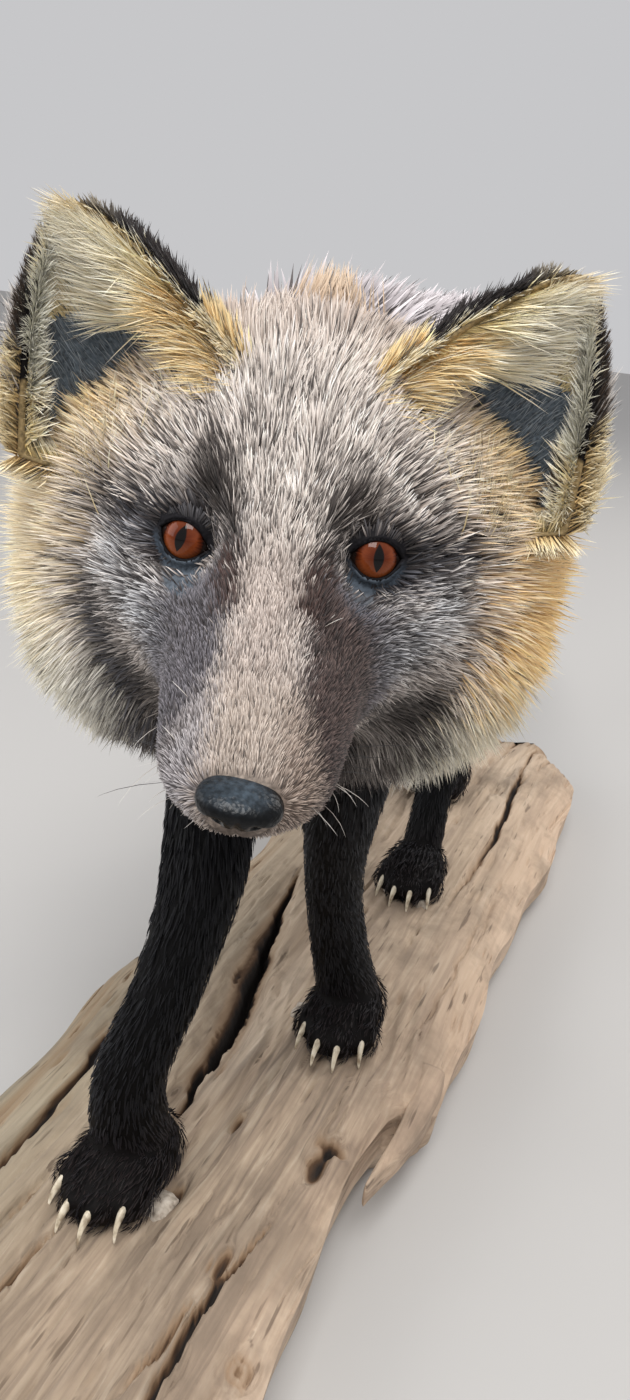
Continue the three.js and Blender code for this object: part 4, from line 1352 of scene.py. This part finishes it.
def drift(points, size, seed):
    """Three smooth noises over space, one for each direction, that change over `size` millimetres."""
    x, y, z = (points / size).T
    return np.stack([
        value_noise(x + 0.7 * z, y + 0.4 * z, seed),
        value_noise(y + 0.7 * x, z + 0.4 * x, seed + 1),
        value_noise(z + 0.7 * y, x + 0.4 * y, seed + 2),
    ], axis=-1)


GUARD_HAIR = ("1f1a1a", "2a2322", "332b29")


def grizzled(colours, rng, dark_share, mottling=0, spread=0.13):
    """Some tufts turned to dark guard hairs, and each one's brightness varied by chance and by `mottling`."""
    count = len(colours[0])
    picked = (rng.random(count) < dark_share)[:, None] * rng.uniform(0.6, 1.0, (count, 1))
    bright = np.exp(rng.normal(0, spread, (count, 1)) + np.broadcast_to(mottling, (count,))[:, None])
    darkened = [tone + picked * (srgb(code) - tone) for tone, code in zip(colours, GUARD_HAIR)]
    return [np.clip(tone * bright, 0, 1) for tone in darkened]


def keep(found, mask):
    """Only the roots in the mask."""
    return tuple(part[mask] for part in found)


TEAR_DUCT = {-1: (7.4, 6.0), 1: (4.8, 5.0)}  # half width and half height of the bare skin below each eye


def front_density(p):
    """More and finer tufts towards the eyes and nose."""
    return np.interp(p[..., 1], [-80, -40, 0, 25, 50, 66], [2.5, 2.3, 1.7, 1.0, 0.6, 0.4])


def face_coat(span_v, count, rng):
    """Tufts of the head in front of the ruff, left out of the lids' gaps, the tear ducts and the nose."""
    found = scatter(head_surface, ((0.25, 7.0), span_v), count, front_density, rng)
    root = found[0]
    bare = np.linalg.norm((root - NOSE_AT) / (NOSE_RADII + 0.3), axis=-1) < 1
    for side, (wide, high) in TEAR_DUCT.items():
        middle, _, slit, up = eye_axes(side)
        a, b = (root - middle) @ slit, (root - middle) @ up
        lid = np.where(b > 0, LID_GAP[1] + 1.0, LID_GAP[2] + 1.4)
        gap = np.hypot(a / (LID_GAP[0] + 1.2), b / lid) < 1
        duct = (np.hypot((a + 4.2) / wide, (b + 9.8) / high) < 1) & (rng.random(len(root)) < 0.93)
        bare |= ((root[:, 0] > 0) == (side > 0)) & (gap | duct)
    found = keep(found, ~bare)
    root, normal, _ = found
    y, z, wide = root[:, 1], root[:, 2], np.abs(root[:, 0])
    distance, _ = eye_distance(root)
    reach = np.interp(y, [-80, -60, -40, -20, -5, 15, 30, 45, 60], [2.2, 2.8, 3.2, 4.0, 6.0, 9.5, 14, 18, 22])
    reach *= np.where(z < -20, 1 + 0.5 * smoothstep(y, -10, 25), 1)
    length = reach * (1 - 0.45 * np.exp(-((distance / 15) ** 2))) * rng.uniform(0.7, 1.3, len(root))
    broad = np.interp(y, [-80, -40, 0, 30, 60], [0.26, 0.28, 0.4, 0.58, 0.85])
    width = broad * rng.uniform(0.7, 1.3, len(root))
    lift = np.interp(y, [-80, -30, 0, 30, 60], [13, 13, 19, 25, 30])
    lean = np.radians(lift) + rng.normal(0, 0.1, len(root))
    locks = drift(root, 6.0, 31)
    forehead = smoothstep(y, -22, 4) * (z > -40) * (1 - smoothstep(wide, 54, 72))
    cheek = either(near(root, (38, -2, -22), (14, 14, 10)), near(root, (42, 8, -10), (11, 10, 10)))
    flank = smoothstep(wide, 9, 16) * smoothstep(-y, 8, 20)
    guard = 0.08 + forehead * (0.28 + 0.28 * locks[:, 0]) + 0.3 * cheek + 0.16 * flank
    mottling = 0.26 * drift(root, 3.2, 41)[:, 0] * (0.4 + 0.6 * smoothstep(y, -25, 5))
    stray = np.interp(y, [-60, -20, 10, 50], [1.5, 1.7, 2.1, 4.0])[:, None]
    strayed = root + rng.normal(0, 1, root.shape) * stray
    colours = grizzled(head_colours(strayed), rng, guard, mottling)
    length = length * (1 + 0.2 * locks[:, 1])
    flow = along_surface(head_direction(root), normal) + 0.26 * locks + rng.normal(0, 0.1, root.shape)
    return head_patch(found, flow, length, width, lean, lean - 0.12, 0.05, colours)


rng = np.random.default_rng(11)
face_material = coat_material("face_fur", 0.62, 0.1)
HALF_ROUND = {1: (-0.25, 0.25), -1: (0.25, 0.75)}  # share of the way round the head on its left and its right
for name, span_v in (("coat_face_left", HALF_ROUND[1]), ("coat_face_right", HALF_ROUND[-1])):
    piece = blades(name, [face_coat(span_v, 40500, rng)], 3, rng, face_material)
    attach(piece, "root")


def whiskers(side, place, size, count, length, direction, tones, rng):
    """Stiff single hairs round one place on the head, kept in whole black or whole white."""
    flip = np.array([side, 1, 1])
    where = lambda p: one_sided(p, np.array(place) * flip, size)
    found = scatter(head_surface, ((0.5, 6.5), HALF_ROUND[side]), count, where, rng)
    root, normal, _ = found
    flow = along_surface(np.broadcast_to(np.array(direction) * flip, root.shape), normal)
    flow = flow + rng.normal(0, 0.14, root.shape)
    length = length * rng.uniform(0.5, 1.2, count)
    lean = rng.uniform(0.45, 0.9, count)
    return head_patch(found, flow, length, 0.17, lean, lean - 0.3, 0.35, plain_tones(tones, count))


WHITE_HAIR, BLACK_HAIR = ("8a8078", "c8c2ba", "f0ece6"), ("100e0e", "171414", "241f1e")
# place on the head, size of the place, count, length, direction and tones
WHISKERS = [
    ((20, -58, -33), (5, 9, 5), 6, 22, (0.7, 0.4, -0.7), WHITE_HAIR),
    ((21, -48, -36), (5, 9, 5), 9, 36, (0.7, 0.7, -0.4), BLACK_HAIR),
    ((14, -66, -42), (6, 8, 4), 4, 12, (0.3, 0.2, -0.9), WHITE_HAIR),
    ((10, -45, -12), (9, 22, 8), 4, 6.5, (0.5, 0.9, 0.1), WHITE_HAIR),
    ((24, 6, 16), (5, 5, 5), 4, 22, (0.5, 0.4, 0.7), BLACK_HAIR),
]
coat = [whiskers(side, *row, rng) for side in (-1, 1) for row in WHISKERS]
piece = blades("coat_whiskers", coat, 4, rng, face_material)
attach(piece, "root")


# ---------------------------------------------------------------- coat of the ruff
# The long winter ruff round cheeks, throat and nape: soft hair, brown at the root, golden in
# the middle and cream at the tip, combed back and down by its own weight.
def in_oval(points, keys, columns, depth):
    """Which points lie that deep within keyed ovals: the two reaches to the power 2.2 sum to below 1.
    The columns are those of x, widest level, half width, above and below."""
    rows = catmull(keys, np.interp(points[:, 1], keys[:, 0], np.arange(len(keys))))
    x, widest, half, above, below = (0 if k is None else rows[:, k] for k in columns)
    reach = np.where(points[:, 2] > widest, above, below) - depth
    across = np.abs(points[:, 0] - x) / np.maximum(half - depth, 1)
    high = np.abs(points[:, 2] - widest) / np.maximum(reach, 1)
    inside = (points[:, 1] > keys[0, 0]) & (points[:, 1] < keys[-1, 0])
    return inside & (across**2.2 + high**2.2 < 1)


def in_head(points):
    """Which of the slab's points lie well inside the head."""
    return in_oval(unposed(points), HEAD_KEYS, (None, 1, 2, 3, 4), 27)


def in_trunk(points):
    """Which of the slab's points lie well inside the trunk."""
    return in_oval(points - np.array([BODY_X, 0, 0]), TRUNK_KEYS, (1, 2, 3, 4, 5), 19)


def ruff_coat(span_v, count, rng):
    """Long tufts on the head behind the face: back and down, longest at the sides, tips hanging."""
    dense = lambda p: np.interp(p[..., 1], [20, 36, 60, 80, 122], [0.7, 1.7, 1.5, 0.8, 0.35])
    found = scatter(head_surface, ((6.35, 11), span_v), count, dense, rng)
    found = keep(found, ~in_trunk(posed(found[0])))
    root, normal, _ = found
    x, y, z = root.T
    top = smoothstep(z, -10, 25) * (1 - smoothstep(np.abs(x), 55, 80))
    reach = np.interp(y, [22, 36, 58, 90, 122], [15, 27, 41, 46, 42]) * (1 - 0.45 * top)
    length = reach * rng.uniform(0.62, 1.26, len(root))
    depth = np.interp(y, [22, 36, 58, 122], [9, 18, 26, 22]) * (1 - 0.5 * top)
    lean = np.arcsin(np.clip(depth / length, 0.2, 0.72)) + rng.normal(0, 0.1, len(root))
    width = np.interp(y, [22, 45, 70, 110], [0.55, 0.75, 0.95, 1.5]) * rng.uniform(0.6, 1.3, len(root))
    locks = drift(root, 10.0, 51)
    down = -0.45 * smoothstep(np.abs(x), 30, 75) - 0.5 * smoothstep(-z, 20, 70)
    direction = np.stack([0.004 * x, np.ones_like(x), down], axis=-1)
    flow = along_surface(direction, normal) + 0.42 * locks + rng.normal(0, 0.07, root.shape)
    strayed = root + rng.normal(0, 4, root.shape)
    mottling = 0.16 * drift(root, 7.0, 61)[:, 0]
    colours = grizzled(head_colours(strayed), rng, 0.03 + 0.12 * top, mottling, spread=0.1)
    return head_patch(found, flow, length, width, lean, lean - 0.12, 0.3, colours)


def nape_tuft(count, rng):
    """A tan tuft that stands up on the nape between the ears."""
    where = lambda p: one_sided(p, (2, 84, 48), (11, 9, 30))
    found = scatter(head_surface, ((8, 10.5), (0.15, 0.35)), count, where, rng)
    root, normal, _ = found
    flow = along_surface(np.broadcast_to([0.05, 0.5, 1.0], root.shape), normal)
    flow = flow + rng.normal(0, 0.12, root.shape)
    tones = plain_tones(("6b5140", "a58970", "d8c3ab"), count)
    length = 27 * rng.uniform(0.6, 1.15, count)
    return head_patch(found, flow, length, 0.8, 1.05, 0.9, 0.0, grizzled(tones, rng, 0.05))


ruff_material = coat_material("ruff_fur", 0.6, 0.15)
for name, span_v in (("coat_ruff_left", HALF_ROUND[1]), ("coat_ruff_right", HALF_ROUND[-1])):
    coat = [ruff_coat(span_v, 33000, rng)]
    if span_v[0] < 0:
        coat.append(nape_tuft(420, rng))
    piece = blades(name, coat, 3, rng, ruff_material)
    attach(piece, "root")


# ---------------------------------------------------------------- coat of the ears
# Short black-brown hair on the backs and rims; inside, long cream hair sweeps out from the
# golden inner edge across the bare slate-blue cup, and pale hair tufts the tip.
def ear_patch(rng, side, chart_at, inner, spans, count, mixture, *looks):
    """Tufts on one face of an ear; `mixture` weighs the axis, outward and front directions of the hair."""
    length, width, lean, tones, dark_share, stray = looks
    inset = EAR_COAT + (EAR_WALL if inner else 0)
    surface = lambda s, w: ear_surface(side, s, w, inset)
    root, normal, chart = scatter(surface, spans, count, even, rng, (40, 60))
    s = spans[0][0] + chart[:, 0] * (spans[0][1] - spans[0][0])
    if inner:
        normal = -normal
    direction = sum(share * way for share, way in zip(mixture, ear_directions(side)))
    flow = along_surface(np.broadcast_to(direction, root.shape), normal) + rng.normal(0, stray, root.shape)
    flow = flow + 2 * stray * drift(root, 7.0, 53)
    tip = smoothstep(s, 0.78, 0.95) * (0.75 if inner else 0.35)
    colours = grizzled(layered(tones, (tip, "8f7a5e", "d8c6a4", "efe4ce")), rng, dark_share)
    length = length * (1 - 0.45 * smoothstep(s, 0.5, 1)) * rng.uniform(0.65, 1.25, len(root))
    width = width * rng.uniform(0.7, 1.3, len(root))
    lean = np.radians(lean)
    found = (root, normal, chart)
    return head_patch(found, flow, length, width, lean, lean - 0.1, 0.0, colours, chart_at)


def base_tufts(rng, side, chart_at, place, size, count, direction, length, lean, tones):
    """Long tufts of the head round the foot of an ear, lapping over its lower rims."""
    flip = np.array([side, 1, 1])
    where = lambda p: one_sided(p, np.array(place) * flip, size)
    found = scatter(head_surface, ((5.5, 8.3), HALF_ROUND[side]), count, where, rng)
    root, normal, _ = found
    flow = along_surface(np.broadcast_to(np.array(direction) * flip, root.shape), normal)
    flow = flow + 0.3 * drift(root, 9.0, 57) + rng.normal(0, 0.2, root.shape)
    colours = grizzled(plain_tones(tones, count), rng, 0.06, spread=0.16)
    lean = np.radians(lean) + rng.normal(0, 0.12, count)
    length = length * rng.uniform(0.65, 1.2, count)
    return head_patch(found, flow, length, 0.5, lean, lean - 0.2, 0.1, colours, chart_at)


BLACK = ("171415", "211d1e", "332c2b")
CREAM = ("e2cd98", "f6e5b8", "fffaec")
GOLD = ("c99c5c", "e2bd7c", "f5e2b6")
PALE = ("aaa898", "d2cfbc", "f4f1e6")
SLATE = ("5f6a75", "7d8893", "a9b0b4")
BROWN = ("1d1615", "33271f", "5f4c3c")
YELLOW = ("caab76", "e8d2a0", "faf0d8")
LILAC = ("8f8782", "c0b7b0", "ece6e0")
# inner side or back, span up the ear and across it, count, mixture, length, width, lean, tones,
# share of dark hairs, how far the hairs stray
EAR_COATS = [
    (False, ((0.1, 0.95), (-1, 1)), 4500, (1, 0, 0), 6, 0.8, 15, BLACK, 0.2, 0.13),
    (False, ((0.07, 0.36), (-1, 0.3)), 1900, (0.8, 0.3, -0.2), 13, 0.8, 26, GOLD, 0.2, 0.13),
    (False, ((0.42, 0.93), (-1, -0.84)), 1200, (1, -0.4, 0.3), 9, 0.5, 30, BLACK, 0.1, 0.25),
    (False, ((0.4, 0.93), (0.84, 1)), 1000, (1, 0.4, 0.4), 8, 0.5, 30, BROWN, 0.2, 0.3),
    (False, ((0.25, 0.6), (0.3, 1.0)), 1000, (0.9, 0.1, -0.1), 12, 0.6, 28, LILAC, 0.2, 0.25),
    (False, ((0.08, 0.3), (0.3, 1.0)), 1000, (0.9, 0.2, -0.1), 15, 0.6, 32, YELLOW, 0.1, 0.3),
    (False, ((0.07, 0.4), (-1, -0.8)), 700, (0.9, 0.6, 0.5), 9, 0.5, 20, YELLOW, 0.12, 0.25),
    (False, ((0.3, 0.95), (-1, -0.92)), 150, (0.9, -0.4, 0.9), 8, 0.4, 32, CREAM, 0.1, 0.35),
    (True, ((0.05, 0.48), (-0.99, -0.6)), 2700, (0.7, 0.85, 0.5), 21, 0.42, 28, GOLD, 0.04, 0.2),
    (True, ((0.1, 0.5), (-0.98, -0.5)), 1900, (0.75, 0.9, 0.3), 20, 0.4, 24, CREAM, 0.04, 0.2),
    (True, ((0.42, 0.93), (-0.98, -0.2)), 3300, (0.75, 0.9, 0.3), 23, 0.4, 24, CREAM, 0.04, 0.2),
    (True, ((0.55, 0.93), (-0.4, 0.6)), 1500, (1, 0.25, 0.2), 12, 0.42, 20, CREAM, 0.05, 0.2),
    (True, ((0.3, 0.92), (0.66, 0.98)), 1500, (1, -0.1, 0.5), 11, 0.4, 30, PALE, 0.1, 0.3),
    (True, ((0.08, 0.34), (0.6, 1.0)), 800, (0.8, 0.3, 0.6), 12, 0.45, 40, CREAM, 0.05, 0.35),
    (True, ((0.15, 0.3), (0.8, 1.0)), 800, (0.8, 0.7, 0.4), 10, 0.5, 50, BROWN, 0.1, 0.3),
    (True, ((0.12, 0.7), (-0.5, 0.75)), 900, (1, 0.2, 0), 6, 0.3, 9, SLATE, 0.1, 0.13),
    (False, ((-0.02, 0.5), (0.88, 1.0)), 900, (0.7, 0.6, 0.7), 9, 0.5, 45, YELLOW, 0.14, 0.35),
    (True, ((-0.02, 0.45), (0.9, 1.0)), 700, (0.8, 0.9, 0.4), 9, 0.5, 50, CREAM, 0.08, 0.35),
]
# place on the head, size, count, direction, length, lean and tones
BASE_TUFTS = [
    ((78, 43, -2), (13, 9, 12), 1050, (0.5, -0.3, 0.8), 20, 34, YELLOW),
    ((66, 41, 10), (9, 8, 7), 420, (0.4, -0.2, 0.9), 14, 32, CREAM),
    ((50, 37, 18), (12, 6, 6), 420, (0.5, -0.1, 0.8), 11, 34, YELLOW),
    ((34, 46, 28), (7, 9, 7), 450, (0.75, 0.1, 0.7), 14, 30, GOLD),
    ((88, 56, -8), (9, 11, 12), 700, (0.5, 0.2, 0.7), 21, 38, GOLD),
    ((84, 57, -17), (7, 8, 9), 650, (0.35, 0.1, 0.8), 18, 30, GOLD),
]
ear_material = coat_material("ear_fur", 0.62, 0.12)
for side, name in ((-1, "coat_ear_right"), (1, "coat_ear_left")):
    cells = [(0.2 * (k % 5), 0.2 * (k // 5), 0.19, 0.19) for k in range(25)]
    coat = [ear_patch(rng, side, cell, *row) for cell, row in zip(cells, EAR_COATS)]
    coat += [base_tufts(rng, side, cell, *row) for cell, row in zip(cells[len(EAR_COATS):], BASE_TUFTS)]
    piece = blades(name, coat, 3, rng, ear_material)
    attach(piece, "root")


# ---------------------------------------------------------------- coat of the neck and trunk
# Dense winter coat, silver-lilac over the back with a dark cross on the spine and shoulders,
# yellower on the flanks and black-brown below; it lies back along the body.
def body_flow(p):
    """Back along the body, and down over the ribs and flanks."""
    low = smoothstep(np.abs(p[:, 0] - BODY_X), 20, 60)
    return np.stack([np.zeros(len(p)), np.ones(len(p)), -0.1 - 0.45 * low], axis=-1)


def trunk_coat(span_u, count, rng):
    """Tufts over part of the trunk, clear of the head."""
    surface = lambda u, v: trunk_surface(u, v, TRUNK_COAT)
    found = scatter(surface, (span_u, (-0.25, 0.75)), count, even, rng)
    found = keep(found, ~in_head(found[0]))
    root, normal, _ = found
    length = np.interp(root[:, 1], [-150, -100, 0, 200, 290], [34, 42, 38, 38, 30])
    length = length * rng.uniform(0.75, 1.15, len(root))
    lean = np.arcsin(np.clip(15.5 / length, 0.2, 0.6)) + rng.normal(0, 0.07, len(root))
    width = 2.0 * rng.uniform(0.6, 1.3, len(root))
    flow = along_surface(body_flow(root), normal) + 0.3 * drift(root, 16.0, 71)
    flow = flow + rng.normal(0, 0.09, root.shape)
    strayed = root + rng.normal(0, 6, root.shape)
    colours = grizzled(trunk_colours(strayed), rng, 0.13, 0.16 * drift(root, 12.0, 81)[:, 0])
    return patch(found, flow, length, width, lean, lean - 0.08, 0.1, colours)


body_material = coat_material("body_fur", 0.6, 0.12)
for name, span_u in (("coat_neck", (0.0, 4.4)), ("coat_trunk", (4.4, 10.0))):
    piece = blades(name, [trunk_coat(span_u, 26500, rng)], 3, rng, body_material)
    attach(piece, "root")


# ---------------------------------------------------------------- coat of the legs and feet
# Close black hair with a cold sheen, browner on the toes and shaggier on shoulder and thigh,
# lying down the leg and forward over the toes.
def leg_coat_patch(leg, count, rng, chart_at):
    """Tufts down one leg, clear of the trunk."""
    keys = LEG_KEYS[leg]
    last = len(keys) - 1
    surface = lambda u, v: limb_surface(keys, u, v, leg_coat(u, last))
    dense = lambda p: 1.0 + 1.2 * (p[..., 2] < 170)
    found = scatter(surface, ((0.3, last), (0, 1)), count, dense, rng)
    found = keep(found, ~in_trunk(found[0]))
    root, normal, chart = found
    down = path_step(keys, 0.3 + chart[:, 0] * (last - 0.3), 0.1)
    upper = 1 - smoothstep(root[:, 2], 120, 195)
    length = (13 - 7.5 * upper) * rng.uniform(0.7, 1.25, len(root))
    width = (1.0 - 0.4 * upper) * rng.uniform(0.7, 1.3, len(root))
    lean = np.radians(9) + rng.normal(0, 0.04, len(root))
    flow = along_surface(unit(down) + np.array([0, 0.25, 0]), normal) + rng.normal(0, 0.09, root.shape)
    tones = leg_colours(root, smoothstep(root[:, 2], 170, 240))
    colours = grizzled(tones, rng, 0.0, 0.25 * drift(root, 22.0, 91)[:, 0], spread=0.06)
    return patch(found, flow, length, width, lean, lean - 0.12, 0.0, colours, chart_at)


def paw_patch(leg, middle, radii, count, rng, chart_at):
    """Short tufts over one rounded part of a foot, left out under another part, the sole and the claws."""
    surface = lambda u, v: ball(middle, radii, u, v)
    found = scatter(surface, ((0.05, 0.97), (0, 1)), count, even, rng, (30, 40))
    root = found[0]
    clear = root[:, 2] > 1.0
    for other, size in paw_balls():
        clear &= np.linalg.norm((root - np.array(other)) / np.array(size), axis=-1) > 0.93
    for place, reach in TOES:
        clear &= ~((root[:, 1] + reach < -5.5) & (np.abs(root[:, 0] - place) < 2.7))
    root, normal, chart = keep(found, clear)
    flow = along_surface(np.broadcast_to([0.0, -1.0, -0.35], root.shape), normal)
    flow = flow + rng.normal(0, 0.16, root.shape)
    colours = grizzled(leg_colours(root, np.zeros(len(root))), rng, 0.0, spread=0.12)
    root = root + 0.6 * normal
    length = np.interp(root[:, 1], [-24, -12], [3.6, 6]) * rng.uniform(0.6, 1.3, len(root))
    zero = np.array([*PAW_AT[leg][:2], 0])
    found = (stepped(leg, root), stepped(leg, normal) - zero, chart)
    lean = np.radians(15) + rng.normal(0, 0.08, len(root))
    return patch(found, stepped(leg, flow) - zero, length, 0.55, lean, lean - 0.15, 0.0, colours, chart_at)


leg_material = coat_material("leg_fur", 0.55, 0.06, 0.16, (0.75, 0.82, 1.0, 1))
coat = []
for k, leg in enumerate(LEG_KEYS):
    coat.append(leg_coat_patch(leg, 5800, rng, (0.25 * k, 0.0, 0.24, 0.6)))
    for j, (middle, radii) in enumerate(paw_balls()):
        cell = (0.25 * k + 0.08 * (j % 3), 0.61 + 0.12 * (j // 3), 0.075, 0.11)
        coat.append(paw_patch(leg, middle, radii, 1800 if j == 0 else 330, rng, cell))
piece = blades("coat_legs", coat, 3, rng, leg_material)
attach(piece, "root")


# ---------------------------------------------------------------- coat of the tail
# The brush: long dark-tipped hair over grey-brown, swelling behind the rump and ending in a
# clean white tip. It is the fox's own hair, still rooted in the skin of the tail.
tail_surface = lambda u, v: limb_surface(TAIL_KEYS, u, v, TAIL_COAT, 2)
tail_dense = lambda p: 1.0 + 0.6 * (p[..., 1] > 560)
found = scatter(tail_surface, ((0.35, 7.97), (0, 1)), 26500, tail_dense, rng)
root, normal, chart = found
tail_at = 0.35 + chart[:, 0] * 7.62
back = path_step(TAIL_KEYS, tail_at, 0.1)
length = np.interp(tail_at, [0, 2, 5, 7, 8], [34, 52, 56, 44, 26]) * rng.uniform(0.75, 1.15, len(root))
depth = np.interp(tail_at, [0, 1, 4, 6.5, 8], [12, 17, 24, 18, 3])
lean = np.arcsin(np.clip(depth / length, 0.1, 0.55)) + rng.normal(0, 0.07, len(root))
flow = along_surface(unit(back), normal) + 0.28 * drift(root, 18.0, 95) + rng.normal(0, 0.09, root.shape)
colours = grizzled(tail_colours(root), rng, 0.3 * (root[:, 1] < 585), 0.15 * drift(root, 14.0, 98)[:, 0])
width = 2.1 * rng.uniform(0.6, 1.3, len(root))
coat = [patch(found, flow, length, width, lean, lean - 0.15, 0.08, colours)]
tail_coat = blades("coat_tail", coat, 3, rng, coat_material("tail_fur", 0.6, 0.12))
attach(tail_coat, "root")
